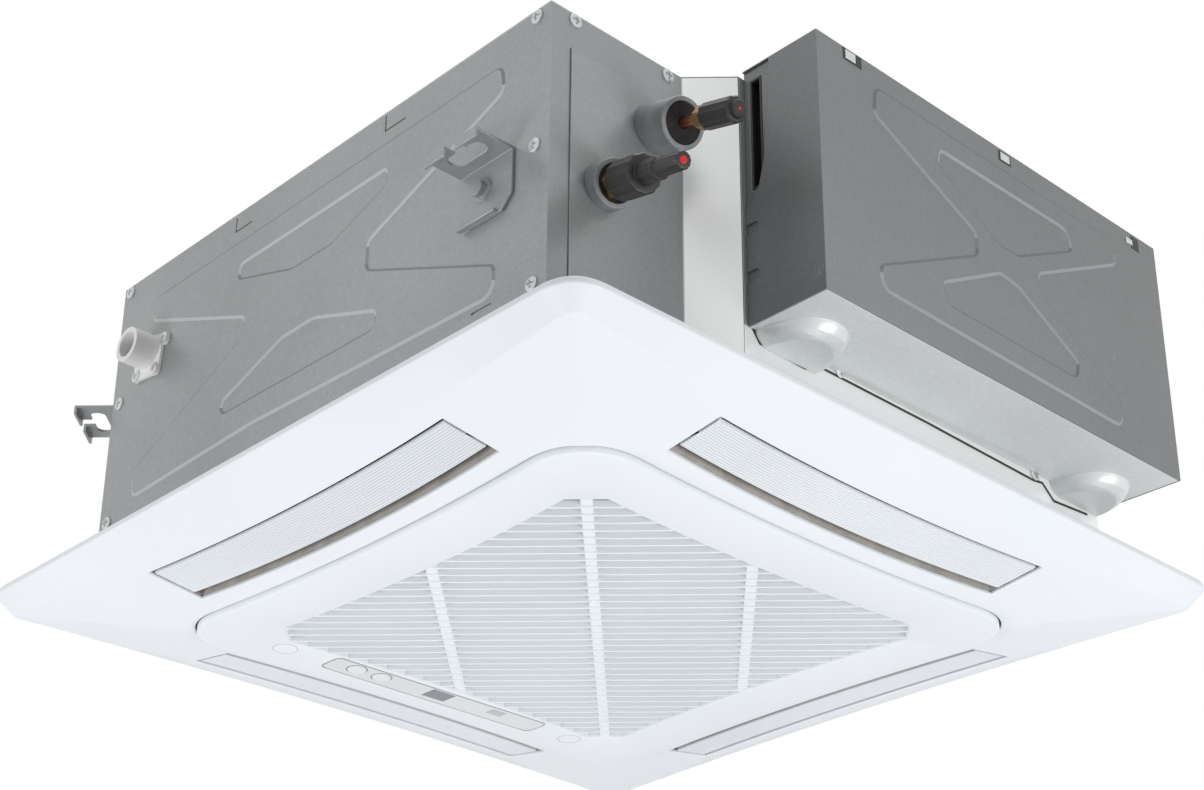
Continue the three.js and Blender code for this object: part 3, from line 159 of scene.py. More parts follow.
def scaled(tree, value, factor):
    """value times factor."""
    node = tree.nodes.new("ShaderNodeMath")
    node.operation = "MULTIPLY"
    tree.links.new(value, node.inputs[0])
    node.inputs[1].default_value = factor
    return node.outputs[0]


def noise(tree, coords, scale, detail=3.0, rough=0.55, stretch=(1, 1, 1)):
    """Smooth noise on object coordinates, in features per metre; stretch below 1 draws it out along that axis."""
    mapping = tree.nodes.new("ShaderNodeMapping")
    mapping.inputs["Scale"].default_value = stretch
    tree.links.new(coords, mapping.inputs["Vector"])
    node = tree.nodes.new("ShaderNodeTexNoise")
    node.inputs["Detail"].default_value = detail
    node.inputs["Roughness"].default_value = rough
    tree.links.new(mapping.outputs[0], node.inputs["Vector"])
    if isinstance(scale, (int, float)):
        node.inputs["Scale"].default_value = scale
    else:
        tree.links.new(scale, node.inputs["Scale"])
    return node.outputs["Fac"]


def threshold(tree, value, low, high):
    """0 below low, 1 above high, and a smooth rise between."""
    node = tree.nodes.new("ShaderNodeMapRange")
    node.interpolation_type = "SMOOTHSTEP"
    node.inputs["From Min"].default_value, node.inputs["From Max"].default_value = low, high
    tree.links.new(value, node.inputs["Value"])
    return node.outputs["Result"]


def combined(tree, operation, a, b):
    """a and b under one math operation, such as their sum or the larger of the two."""
    node = tree.nodes.new("ShaderNodeMath")
    node.operation = operation
    tree.links.new(a, node.inputs[0])
    tree.links.new(b, node.inputs[1])
    return node.outputs[0]


# Zinc: fine grain over small crystals, each a Voronoi cell with its own tone, over slow clouds.
# Short scratches gather in patches as scuffs, and the down-facing slopes of the pressings are made paler too: a
# painted highlight.
zinc_tree, zinc_in, zinc_out = group(
    "zinc_bloom", [("Crystals", 420.0), ("Clouds", 5.0)], ["Tone", "Height", "ScuffAndHighlight"])
zc = zinc_tree.nodes.new("ShaderNodeTexCoord").outputs["Object"]
crystals = zinc_tree.nodes.new("ShaderNodeTexVoronoi")
zinc_tree.links.new(zc, crystals.inputs["Vector"])
zinc_tree.links.new(zinc_in.outputs["Crystals"], crystals.inputs["Scale"])
cell = zinc_tree.nodes.new("ShaderNodeSeparateColor")
zinc_tree.links.new(crystals.outputs["Color"], cell.inputs[0])
clouds = noise(zinc_tree, zc, zinc_in.outputs["Clouds"], 3.0, 0.5)
fine = noise(zinc_tree, zc, 1300, 2.0, 0.6)
tone = combined(zinc_tree, "ADD", scaled(zinc_tree, clouds, 0.5), scaled(zinc_tree, fine, 0.42))
tone = combined(zinc_tree, "ADD", tone, scaled(zinc_tree, cell.outputs["Red"], 0.08))
zinc_tree.links.new(tone, zinc_out.inputs["Tone"])
zinc_tree.links.new(fine, zinc_out.inputs["Height"])
patches = threshold(zinc_tree, noise(zinc_tree, zc, 26, 2.0), 0.66, 0.76)
scratches = threshold(zinc_tree, noise(zinc_tree, zc, 800, 1.0, 0.5, (1, 1, 0.3)), 0.6, 0.72)
scuffs = scaled(zinc_tree, combined(zinc_tree, "MULTIPLY", patches, scratches), 0.45)
# Down-facing slopes of the pressings, marked by skin, add a painted highlight to the real scuffs.
slope_highlight = zinc_tree.nodes.new("ShaderNodeAttribute")
slope_highlight.attribute_name = "slope_highlight"
zinc_tree.links.new(combined(zinc_tree, "MAXIMUM", scuffs, scaled(zinc_tree, slope_highlight.outputs["Fac"], 0.42)),
                    zinc_out.inputs["ScuffAndHighlight"])

# Skin of moulded plastic and foam: soft clouds of tone, fine grain for height.
grain_tree, grain_in, grain_out = group("moulded_grain", [("Grain", 900.0), ("Clouds", 6.0)], ["Tone", "Height"])
gc = grain_tree.nodes.new("ShaderNodeTexCoord").outputs["Object"]
grain_tree.links.new(noise(grain_tree, gc, grain_in.outputs["Clouds"], 3.0), grain_out.inputs["Tone"])
grain_tree.links.new(noise(grain_tree, gc, grain_in.outputs["Grain"], 2.0), grain_out.inputs["Height"])


def overlay(mat, mask, colour):
    """Mixes a colour over a material's base colour where the mask, a socket of its tree, is 1."""
    nodes, links = mat.node_tree.nodes, mat.node_tree.links
    shader = nodes["Principled BSDF"]
    over = nodes.new("ShaderNodeMix")
    over.data_type = "RGBA"
    over.inputs["B"].default_value = (*colour, 1)
    links.new(mask, over.inputs["Factor"])
    links.new(shader.inputs["Base Color"].links[0].from_socket, over.inputs["A"])
    links.new(over.outputs["Result"], shader.inputs["Base Color"])


def finish(name, dark, light, effect, rough, metal=0.0, bump=0.0002, values=None):
    """A material whose colour runs from dark to light with an effect group's tone, and whose bump follows its
    height. Where the group has scuffs and painted highlights, they are paler than the rest."""
    mat = bpy.data.materials.new(name)
    mat.use_nodes = True
    nodes, links = mat.node_tree.nodes, mat.node_tree.links
    shader = nodes["Principled BSDF"]
    use = nodes.new("ShaderNodeGroup")
    use.node_tree = effect
    for label, value in (values or {}).items():
        use.inputs[label].default_value = value
    ramp = nodes.new("ShaderNodeValToRGB")
    ramp.color_ramp.elements[0].position, ramp.color_ramp.elements[1].position = 0.32, 0.68
    ramp.color_ramp.elements[0].color = (*dark, 1)
    ramp.color_ramp.elements[1].color = (*light, 1)
    links.new(use.outputs["Tone"], ramp.inputs["Fac"])
    links.new(ramp.outputs["Color"], shader.inputs["Base Color"])
    if "ScuffAndHighlight" in use.outputs:
        overlay(mat, use.outputs["ScuffAndHighlight"], [min(1, 1.5 * part + 0.12) for part in light])
    spread = nodes.new("ShaderNodeMapRange")
    spread.inputs["To Min"].default_value, spread.inputs["To Max"].default_value = rough[0], rough[1]
    links.new(use.outputs["Tone"], spread.inputs["Value"])
    links.new(spread.outputs["Result"], shader.inputs["Roughness"])
    relief = nodes.new("ShaderNodeBump")
    relief.inputs["Strength"].default_value = 0.35
    relief.inputs["Distance"].default_value = bump
    links.new(use.outputs["Height"], relief.inputs["Height"])
    links.new(relief.outputs["Normal"], shader.inputs["Normal"])
    shader.inputs["Metallic"].default_value = metal
    return mat


def soften(ob, edge, limit=30, segments=2):
    """Rounds the edges over limit degrees by edge mm."""
    bevel = ob.modifiers.new("edge", "BEVEL")
    bevel.width, bevel.segments, bevel.limit_method = edge * MM, segments, "ANGLE"
    bevel.angle_limit = math.radians(limit)


# In metres: points nearer than WELD are one point, and a plain head is what stands more than
# HEAD_SINK above the wall within HEAD_REACH of a screw. STEEP and SHALLOW are the cosines of
# 40 and 8 degrees.
WELD, HEAD_SINK, HEAD_REACH = 0.000002, 0.00005, 0.0049
STEEP, SHALLOW = 0.77, 0.99


def skin(node, material, edge=0.3, sharp=35, wall=None, heads=()):
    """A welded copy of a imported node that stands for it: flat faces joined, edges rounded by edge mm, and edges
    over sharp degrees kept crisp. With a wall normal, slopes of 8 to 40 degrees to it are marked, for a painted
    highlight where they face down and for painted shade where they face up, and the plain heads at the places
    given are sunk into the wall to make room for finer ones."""
    source = frame["nodes"][node]
    work = bmesh.new()
    work.from_mesh(source.data)
    bmesh.ops.remove_doubles(work, verts=work.verts, dist=WELD)
    for place in heads:
        for vert in work.verts:
            gap = vert.co - Vector(place) * MM
            height = gap.dot(Vector(wall))
            if height > HEAD_SINK and (gap - height * Vector(wall)).length < HEAD_REACH:
                vert.co -= (height + HEAD_SINK) * Vector(wall)
    bmesh.ops.dissolve_limit(work, angle_limit=math.radians(0.3), verts=work.verts, edges=work.edges)
    mesh = bpy.data.meshes.new(f"{node}_skin")
    work.to_mesh(mesh)
    work.free()
    if wall:
        tilt = [max(-1, min(1, face.normal.dot(Vector(wall)))) for face in mesh.polygons]
        for label, way in (("slope_highlight", -1), ("slope_shade", 1)):
            marks = mesh.attributes.new(label, "FLOAT", "FACE")
            marks.data.foreach_set("value", [
                float(STEEP < part < SHALLOW and way * face.normal.z > -0.02)
                for face, part in zip(mesh.polygons, tilt)])
    mesh.materials.append(material)
    mesh.polygons.foreach_set("material_index", np.zeros(len(mesh.polygons), dtype=np.int32))
    mesh.shade_smooth()
    mesh.set_sharp_from_angle(angle=math.radians(sharp))
    ob = bpy.data.objects.new(f"{node}_skin", mesh)
    bpy.context.collection.objects.link(ob)
    if edge:
        soften(ob, edge, 40)
    flat = ob.modifiers.new("flat", "WEIGHTED_NORMAL")
    flat.keep_sharp = True
    flat.weight = 100
    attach(ob, source["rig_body"])
    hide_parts(node)
    return ob


def shade_up_slopes(mat):
    """Painted shade darkens the slopes that face up."""
    mark = mat.node_tree.nodes.new("ShaderNodeAttribute")
    mark.attribute_name = "slope_shade"
    overlay(mat, scaled(mat.node_tree, mark.outputs["Fac"], 0.6), (0.10, 0.102, 0.105))


plate_zinc = finish("plate_zinc", (0.25, 0.26, 0.263), (0.375, 0.387, 0.39), zinc_tree, (0.34, 0.44), 0.45,
                    0.00004, {"Crystals": 420.0, "Clouds": 3.5})
# Up-facing slopes of the pressings get painted shade.
shade_up_slopes(plate_zinc)
# A lighter copy of the plate zinc: painted light for the plates that face the lamps, the control box's bottom and the
# cover's tongues. The fan nut uses it as bright steel.
bright_and_painted_lit_zinc = finish("bright_and_painted_lit_zinc", (0.60, 0.62, 0.62), (0.76, 0.78, 0.78), zinc_tree, (0.34, 0.44), 0.3, 0.00004,
                     {"Crystals": 420.0, "Clouds": 6.0})
BODY_HALF, PIPE_FACE = 285, 258
FRONT_SCREWS = [(x, -BODY_HALF, z) for x, z in (
    (-227, 236.7), (-226, 138.4), (-225, 38.3), (245.2, 236.2), (245.2, 138.2), (245.2, 38.5))]
PIPE_SCREWS = [(PIPE_FACE, -264.5, 236.9), (PIPE_FACE, -181.3, 236.9)]
skin("front_wall", plate_zinc, 0.35, 14, (0, -1, 0), FRONT_SCREWS)
skin("pipe_cover_plate", plate_zinc, 0.35, 14)
for plate in ("left_wall", "rear_wall", "top_plate"):
    skin(plate, plate_zinc, 0.5, 14)

# The slanted end of the pipe corner and the strip of the right-hand plate below the control box
# # face the light, so their zinc is painted near-white, a painted highlight: the mask is a smooth step across the
# fold, in metres.
def folded(name, axis, low, high):
    """Plate zinc that turns near-white, a painted highlight, where the object coordinate along axis passes from low
    to high.
    """
    mat = finish(name, (0.27, 0.28, 0.285), (0.34, 0.355, 0.36), zinc_tree, (0.34, 0.44), 0.45, 0.00004,
                 {"Crystals": 420.0, "Clouds": 3.5})
    nodes, links = mat.node_tree.nodes, mat.node_tree.links
    parts = nodes.new("ShaderNodeSeparateXYZ")
    links.new(nodes.new("ShaderNodeTexCoord").outputs["Object"], parts.inputs[0])
    overlay(mat, threshold(mat.node_tree, parts.outputs[axis], low, high), (0.92, 0.935, 0.93))
    return mat


skin("pipe_corner_wall", folded("corner_zinc", "X", 0.2582, 0.2592), 0.4, 14, (1, 0, 0),
     PIPE_SCREWS)
skin("right_wall", folded("side_zinc", "Z", 0.0535, 0.0515), 0.4, 14)


# ---- Screws ------------------------------------------------------------------------------
# Zinc-plated pan heads with a cross recess, turned into the plates and the brackets.
def surface(name, grid, material, close_u=False, close_v=False, sharp=40):
    """A mesh on a grid of points (rows, columns, xyz); close_u joins the last row to the first, and close_v
    the last column to the first."""
    rows, columns = grid.shape[:2]
    index = np.arange(rows * columns).reshape(rows, columns)
    if close_u:
        index = np.vstack([index, index[:1]])
    if close_v:
        index = np.hstack([index, index[:, :1]])
    quads = np.stack([index[:-1, :-1], index[:-1, 1:], index[1:, 1:], index[1:, :-1]], axis=-1).reshape(-1, 4)
    return piece(name, grid.reshape(-1, 3), quads.tolist(), material, sharp)


def piece(name, points, faces, material, sharp=40):
    """A new object with its place in its mesh, its faces pointing out, and edges over sharp degrees kept crisp."""
    mesh = bpy.data.meshes.new(name)
    mesh.from_pydata((np.asarray(points, dtype=float) * MM).tolist(), [], faces)
    work = bmesh.new()
    work.from_mesh(mesh)
    bmesh.ops.remove_doubles(work, verts=work.verts, dist=1e-6)
    bmesh.ops.recalc_face_normals(work, faces=work.faces)
    work.to_mesh(mesh)
    work.free()
    mesh.shade_smooth()
    mesh.set_sharp_from_angle(angle=math.radians(sharp))
    mesh.materials.append(material)
    ob = bpy.data.objects.new(name, mesh)
    bpy.context.collection.objects.link(ob)
    return ob


def disc(name, centre, out, radius, height, material, foot=0.0):
    """Polar grid: a dome of height (1 - r^2) over a short rim, less a cross recess that is deep near both axes
    and ends at 0.62 of the radius. out is the direction that the head faces."""
    arm_half, arm_end = 0.17, 0.62
    out = np.asarray(out, float) / np.linalg.norm(out)
    side = np.cross(out, (0, 0, 1.0)) if abs(out[2]) < 0.9 else np.array([1.0, 0, 0])
    side /= np.linalg.norm(side)
    up = np.cross(out, side)
    r = np.concatenate([np.linspace(0, 0.94, 12), [1.0, 1.0]])[:, None]
    a = np.linspace(0, 2 * np.pi, 48, endpoint=False)[None, :]
    x, y = r * np.cos(a + 0.5), r * np.sin(a + 0.5)
    lift = height * (0.45 + 0.55 * (1 - r ** 2)) + 0 * x
    arm = np.minimum(np.abs(x), np.abs(y))
    cross = np.clip((arm_half - arm) / 0.06, 0, 1) * np.clip((arm_end - r) / 0.1, 0, 1)
    lift = lift - cross * height * 0.7
    lift[-1] = foot
    grid = (np.asarray(centre, float) + lift[..., None] * out + radius * (x[..., None] * side + y[..., None] * up))
    centre_cap = np.broadcast_to(np.asarray(centre, float) + foot * out, grid[:1].shape)
    return surface(name, np.concatenate([grid, centre_cap]), material, close_v=True, sharp=32)


screw_zinc = finish("screw_zinc", (0.50, 0.52, 0.52), (0.66, 0.68, 0.68), zinc_tree, (0.28, 0.38), 0.6, 0.00002)
SIDE_SCREWS = [(BODY_HALF, -51, 53), (BODY_HALF, 160, 50.5)]
for name, places, out, radius, height in (
        ("front", FRONT_SCREWS, (0, -1, 0), 5.0, 2.3), ("pipe", PIPE_SCREWS, (1, 0, 0), 5.0, 2.3),
        ("side", SIDE_SCREWS, (1, 0, 0), 4.6, 2.2)):
    for k, place in enumerate(places):
        ob = disc(f"{name}_screw_{k + 1}", place, out, radius, height, screw_zinc)
        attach(ob, "unit")


# ---- Inside of the body ------------------------------------------------------------------
# Moulded bead foam liner and drain pan, a finned aluminium coil, a black fan under its motor,
# a white bell mouth, and the pump with its hose and float.
bead_foam = finish("bead_foam", (0.62, 0.61, 0.58), (0.74, 0.73, 0.70), grain_tree, (0.8, 0.95), 0.0, 0.0006,
                   {"Grain": 260.0, "Clouds": 30.0})
# The drain pan is coloured near-black: painted shade that darkens the gaps beside the louvres.
pan_painted_shade = finish("pan_painted_shade", (0.035, 0.03, 0.03), (0.06, 0.052, 0.05), grain_tree, (0.8, 0.95), 0.0, 0.0006,
                  {"Grain": 260.0, "Clouds": 30.0})
coil_fins = finish("coil_fins", (0.42, 0.44, 0.46), (0.60, 0.62, 0.64), zinc_tree, (0.35, 0.5), 0.8, 0.0004,
                   {"Crystals": 400.0, "Clouds": 20.0})
fan_black = finish("fan_black", (0.035, 0.036, 0.038), (0.055, 0.056, 0.058), grain_tree, (0.42, 0.55))
motor_cast = finish("motor_cast", (0.36, 0.37, 0.38), (0.48, 0.49, 0.50), zinc_tree, (0.4, 0.55), 0.7)
board_green = finish("board_green", (0.02, 0.07, 0.035), (0.04, 0.12, 0.055), grain_tree, (0.3, 0.45))
hose_grey = finish("hose_grey", (0.28, 0.29, 0.29), (0.36, 0.37, 0.37), grain_tree, (0.5, 0.65))
inside_white = finish("inside_white", (0.66, 0.68, 0.70), (0.74, 0.76, 0.78), grain_tree, (0.4, 0.5))
for node, slot, material in (
        ("insulation_liner", "liner_foam", bead_foam), ("drain_pan", "liner_foam", pan_painted_shade),
        ("heat_exchanger", "fins", coil_fins), ("coil_end_plate_front", "galvanised_steel", plate_zinc),
        ("coil_end_plate_right", "galvanised_steel", plate_zinc), ("turbo_fan", "fan_plastic", fan_black),
        ("fan_nut", "bright_steel", bright_and_painted_lit_zinc), ("fan_motor", "motor_metal", motor_cast),
        ("motor_mount", "box_steel", plate_zinc), ("bell_mouth", "white_plastic", inside_white),
        ("drain_pump", "white_plastic", inside_white), ("drain_hose", "hose_rubber", hose_grey),
        ("float_switch", "white_plastic", inside_white), ("float", "white_plastic", bead_foam)):
    skin(node, material, 0.0 if node in ("turbo_fan", "drain_hose", "heat_exchanger") else 0.3)


# ---- Pipes, nuts and caps ----------------------------------------------------------------
# Two copper stubs leave the notch in closed-cell sleeves with a grey skin and a black core.
# Each ends in a brass flare nut under a black cap with broad flats and a small red plug.
def crossways(along):
    """Two unit directions square to along and to each other, the first of them level."""
    across = np.cross(along, (0, 0, 1.0))
    across /= np.linalg.norm(across)
    return across, np.cross(across, along)


def turned(name, profile, start, along, material, sides, wave=None, sharp=35):
    """A profile of (distance, radius) in mm spun round the line from start along a direction; wave(angle)
    scales the radius."""
    along = np.asarray(along, float) / np.linalg.norm(along)
    across, over = crossways(along)
    angle = np.linspace(0, 2 * np.pi, sides, endpoint=False)
    shape = np.ones_like(angle) if wave is None else wave(angle)
    d, r = np.array(profile, float).T
    reach = r[:, None] * np.where(r[:, None] > 0.5, shape[None, :], 1.0)
    grid = (np.asarray(start, float) + d[:, None, None] * along
            + reach[..., None] * (np.cos(angle)[None, :, None] * across + np.sin(angle)[None, :, None] * over))
    return surface(name, grid, material, close_v=True, sharp=sharp)


copper = finish("copper", (0.42, 0.16, 0.085), (0.62, 0.27, 0.15), zinc_tree, (0.22, 0.4), 0.95, 0.00005,
                {"Crystals": 500.0, "Clouds": 40.0})
brass = finish("brass", (0.22, 0.13, 0.045), (0.42, 0.28, 0.11), zinc_tree, (0.3, 0.45), 0.9, 0.00005,
               {"Crystals": 500.0, "Clouds": 60.0})
sleeve_skin = finish("sleeve_skin", (0.19, 0.20, 0.21), (0.29, 0.30, 0.31), grain_tree, (0.35, 0.5), 0.0, 0.0004,
                     {"Grain": 300.0, "Clouds": 60.0})
core_foam = finish("core_foam", (0.006, 0.005, 0.005), (0.02, 0.017, 0.016), grain_tree, (0.85, 0.98), 0.0, 0.0008,
                   {"Grain": 900.0, "Clouds": 200.0})
cap_black = finish("cap_black", (0.010, 0.009, 0.009), (0.024, 0.022, 0.021), grain_tree, (0.38, 0.5), 0.0, 0.0001)
plug_red = finish("plug_red", (0.45, 0.01, 0.01), (0.62, 0.02, 0.02), grain_tree, (0.3, 0.4))

# Sleeve, cap and tail are (radius, length); bare and nut are lengths, tube and plug are radii. The
# root stands in front of the pipe face by the cover plate and its play.
RUNS = {
    "gas": dict(start=(PIPE_FACE, -239.4, 122), turn=10, drop=18, sleeve=(16.2, 16.5), tube=6.35, bare=0.6,
                nut=6, cap=(13.2, 25.3), tail=(7.6, 43), flats=12, plug=2.7),
    "liquid": dict(start=(PIPE_FACE, -195.5, 186.3), turn=4.4, drop=18.8, sleeve=(17.5, 32.4), tube=3.2,
                   bare=17.3, nut=6.4, cap=(8.9, 28.5), tail=(6, 3.6), flats=11, plug=1.3),
}
ROOT_X = PIPE_FACE + 1.4


def flats(count, depth):
    """A radius factor: count broad flats round, rounded where they meet, by depth."""
    return lambda angle: 1 - depth * np.clip(1.25 * np.abs(np.cos(count * angle / 2)) ** 1.5, 0, 1)


for name, run in RUNS.items():
    turn, drop = math.radians(-run["turn"]), math.radians(run["drop"])
    along = np.array([math.cos(drop) * math.cos(turn), math.cos(drop) * math.sin(turn), -math.sin(drop)])
    start = np.array(run["start"], float)
    radius, length = run["sleeve"]
    cap_at = length + run["bare"] + run["nut"] + 0.2
    cap_end = cap_at + run["cap"][1]
    tip = cap_end + run["tail"][1]
    R, T = run["cap"][0], run["tail"][0]

    # The sleeve is cut slantwise where it meets the plate, so its root is pulled back onto it.
    angle = np.linspace(0, 2 * np.pi, 96, endpoint=False)
    across, over = crossways(along)
    ring = np.cos(angle)[:, None] * across + np.sin(angle)[:, None] * over
    bore = run["tube"] + 0.25

    def rooted(r):
        """A ring of radius r, each point moved along the pipe onto the plane x = ROOT_X."""
        foot = start + ring * r
        return foot + along * ((ROOT_X - foot[:, 0]) / along[0])[:, None]

    lip = 1.2
    soft = [rooted(radius)]
    soft += [start + along * (length - lip * (1 - math.sin(t))) + ring * (radius - lip * (1 - math.cos(t)))
             for t in np.linspace(0, math.pi / 2, 5)]
    soft += [start + along * length + ring * (radius - 3.2), start + along * (length - 1.4) + ring * (radius - 3.3),
             rooted(radius - 3.3)]
    sleeve = surface(f"{name}_sleeve_skin", np.array(soft), sleeve_skin, close_u=True, close_v=True)
    core = surface(f"{name}_sleeve_core", np.array([
        rooted(radius - 3.5), start + along * (length - 0.9) + ring * (radius - 3.5),
        start + along * (length - 0.2) + ring * (radius - 4.2), start + along * (length - 0.2) + ring * (bore + 0.8),
        start + along * (length - 1) + ring * bore, rooted(bore)]), core_foam, close_u=True, close_v=True)
    for ob in (sleeve, core):
        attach(ob, "unit")
    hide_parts(f"{name}_pipe_sleeve")
    skin(f"{name}_pipe", copper, 0)
    skin(f"{name}_flare_nut", brass, 0.5)
    body = [(cap_at, 0), (cap_at, run["tube"] + 0.4), (cap_at, R - 1), (cap_at + 0.8, R), (cap_end - 1.2, R),
            (cap_end - 0.3, R - 0.8), (cap_end, R - 2), (cap_end, T + 0.6)]
    if run["tail"][1] > 10:
        mid = cap_end + run["tail"][1] * 0.42
        body += [(cap_end + 0.8, T), (mid - 6, T), (mid - 5.6, T - 0.4), (mid - 4.6, T - 0.4), (mid - 4.2, T),
                 (mid - 0.6, T), (mid, T - 0.6), (mid + 0.5, T - 1.3), (tip - 1.6, T - 1.5), (tip - 0.4, T - 2.2),
                 (tip, T - 3.6), (tip, 3.0), (tip - 0.6, 2.9), (tip - 0.6, 0)]
    else:
        body += [(cap_end + 0.5, T), (tip - 0.8, T), (tip, T - 0.9), (tip, 1.6), (tip - 0.4, 1.5), (tip - 0.4, 0)]
    cap = turned(f"{name}_cap", body, start, along, cap_black, sides=run["flats"] * 16,
                 wave=flats(run["flats"], 0.045), sharp=28)
    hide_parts(f"{name}_pipe_cap")
    plug = turned(f"{name}_cap_plug", [(tip - 0.55, 0.0), (tip - 0.55, run["plug"]), (tip - 0.1, run["plug"]),
                                       (tip - 0.02, run["plug"] - 0.4), (tip, 0.0)], start, along, plug_red, sides=32)
    for ob in (cap, plug):
        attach(ob, "unit")

# ---- Drain spout -------------------------------------------------------------------------
# A moulded spout with a three-cornered flange, held to the front plate by three screws.
spout_grey = finish("spout_grey", (0.68, 0.68, 0.665), (0.78, 0.78, 0.765), grain_tree, (0.4, 0.5), 0.0, 0.0001)
SPOUT_X, SPOUT_Z, FLANGE_FACE = -187.1, 166.1, -287.6
SPOUT_SCREWS = [(SPOUT_X + x, FLANGE_FACE, SPOUT_Z + z) for x, z in ((20, 4.8), (10.8, -17.4), (-14.5, -14.5))]
skin("drain_spout", spout_grey, 0.5, 35, (0, -1, 0), SPOUT_SCREWS)
for k, place in enumerate(SPOUT_SCREWS):
    head = disc(f"spout_head_{k + 1}", place, (0, -1, 0), 4.7, 1.8, screw_zinc, foot=-0.2)
    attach(head, "unit")


# ---- Control box -------------------------------------------------------------------------
# A folded steel box on the right-hand plate, its cover pressed into a raised field. The bottom
# # plate carries two flat-bottomed bosses and catches the light; its lighter zinc is painted light.
box_zinc = finish("box_zinc", (0.17, 0.178, 0.18), (0.245, 0.255, 0.26), zinc_tree, (0.34, 0.44), 0.45, 0.00005,
                  {"Crystals": 420.0, "Clouds": 4.0})
# Up-facing slopes of the pressings get painted shade.
shade_up_slopes(box_zinc)
skin("control_box_cover", box_zinc, 0.35, 14, (1, 0, 0))
skin("control_box_bottom", bright_and_painted_lit_zinc, 0.3, 14)
skin("control_box_base", box_zinc, 0.4)
skin("terminal_block", cap_black)
skin("cable_grommet", cap_black)
skin("control_board", board_green)

# ---- Hanger brackets ---------------------------------------------------------------------
# Bent plates on three cut corners and on the front plate, each with a keyed slot for a
# threaded rod; a round-headed bolt holds each to the body.
SIDES = ("front", "right", "rear", "left")
for corner in SIDES:
    skin(f"{corner}_hanger_bracket", plate_zinc, 0.4)


def blocks(name, boxes, material, edge=0.3):
    """Plain boxes with soft edges: each is (low corner, high corner) in mm."""
    corners = np.array([[i, j, k] for i in (0, 1) for j in (0, 1) for k in (0, 1)])
    shape = [(0, 1, 3, 2), (4, 6, 7, 5), (0, 4, 5, 1), (2, 3, 7, 6), (0, 2, 6, 4), (1, 5, 7, 3)]
    points, faces = [], []
    for low, high in boxes:
        low, high = np.array(low, float), np.array(high, float)
        faces += [tuple(len(points) + i for i in f) for f in shape]
        points += (low + corners * (high - low)).tolist()
    ob = piece(name, points, faces, material)
    soften(ob, edge)
    return ob


def ribbon(name, path, width, low, high, material, closed=False):
    """A flat strip of a width along a level path of (x, y), from height low to high, mitred at its corners."""
    path = np.asarray(path, float)
    if closed:
        ahead = np.roll(path, -1, 0) - path
        behind = path - np.roll(path, 1, 0)
    else:
        ahead = np.diff(path, axis=0, append=path[-1:] * 2 - path[-2:-1])
        behind = np.diff(path, axis=0, prepend=path[:1] * 2 - path[1:2])
    ahead = ahead / np.linalg.norm(ahead, axis=1)[:, None]
    behind = behind / np.linalg.norm(behind, axis=1)[:, None]
    mean = ahead + behind
    mean /= np.linalg.norm(mean, axis=1)[:, None]
    out = np.stack([mean[:, 1], -mean[:, 0]], 1) / np.clip((mean * ahead).sum(1), 0.5, 1)[:, None] * width / 2
    grid = np.array([np.column_stack([path + out * sign, np.full(len(path), z)])
                     for sign, z in ((-1, low), (-1, high), (1, high), (1, low))])
    if closed:
        return surface(name, grid, material, close_u=True, close_v=True, sharp=30)
    ends = np.stack([np.broadcast_to(grid[:, k].mean(0), grid[:, 0].shape) for k in (0, -1)], 1)
    return surface(name, np.concatenate([ends[:, :1], grid, ends[:, 1:]], axis=1), material, close_u=True, sharp=30)


# The front bracket's foot is folded outwards over three quarters of its width.
fold = blocks("front_bracket_fold", [((177.5, -290.8, 103.4), (214, -286.8, 105.4))], plate_zinc, 0.5)
# Lock tabs of the cover along the top edge, each a pressed tongue in a window. The tongues are in the lighter zinc,
# painted light, and each window is a black slab: painted shade in the opening.
COVER_FACE = 350.6
tongues = blocks("cover_tongues", [
    ((COVER_FACE, -109.5, 239.2), (351.5, -99.5, 246)), ((COVER_FACE, 56, 238.4), (351.5, 66, 244.4)),
    ((COVER_FACE, 208, 237), (351.5, 216, 241.5))], bright_and_painted_lit_zinc)
window_shade = blocks("cover_windows", [
    ((COVER_FACE, -111.5, 237.8), (350.95, -93, 247.2)), ((COVER_FACE, 54.5, 237.3), (350.95, 68, 245.6)),
    ((COVER_FACE, 215, 234.8), (350.95, 224.5, 245.6))], cap_black, 0.05)
# A black strip stands for the shadow in the seam between the bottom plate's flange and the wall
# # behind it: painted shadow. It steps round both bosses, is drawn level, as (y, z), and then stood up against the
# wall.
seam_shadow = ribbon("box_seam", [
    (-136.3, 54.9), (-127.6, 43.9), (-85.4, 42.3), (-72.1, 49.1), (38.0, 48.3), (156.8, 45.5), (168.8, 46.9),
    (181.3, 36.7), (222.1, 39.5)], 1.6, 0.05, 0.5, cap_black)
for vert in seam_shadow.data.vertices:
    vert.co = (BODY_HALF * MM + vert.co.z, vert.co.x, vert.co.y)
for ob, slot in ((fold, "bright_steel"), (tongues, "box_steel"), (window_shade, "box_steel"), (seam_shadow, "box_steel")):
    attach(ob, "unit")


# ---- Decorative panel --------------------------------------------------------------------
# One white moulding with a satin skin. Its sides are drawn in a little between the corners,
# its underside falls in four facets towards the middle, and four slots let the air out.
# A ring is (middle, bow, end): how far its side lies out at the middle, how much more at its
# end, and where along the side it ends and the corner bend starts.
PANEL_HALF, RIM_HEIGHT, RIM_WIDTH, PANEL_SKIN, SLOT_HALF = 323.5, 4.2, 8.0, 3.0, 163.1
LEDGE_Z, CREASE_DEPTH, UNDER_SLOPE = -18.0, 19.2, 0.14
RIM, CREASE, LEDGE = (PANEL_HALF, 0.0, 296.0), (294.9, 15.2, 297.6), (184.0, 4.0, 164.0)
SLOT_OUT, SLOT_IN = (276.2, 19.2, 270.0), (228.3, 14.06, 205.0)
GRILLE, SEAM = (212.8, 6.74, 169.0), (213.9, 6.74, 170.1)
CORNER_STEPS, SHOULDER_STEPS, SLOT_STEPS = 10, 5, 40
QUARTERS = ((1, 0), (0, 1), (-1, 0), (0, -1))


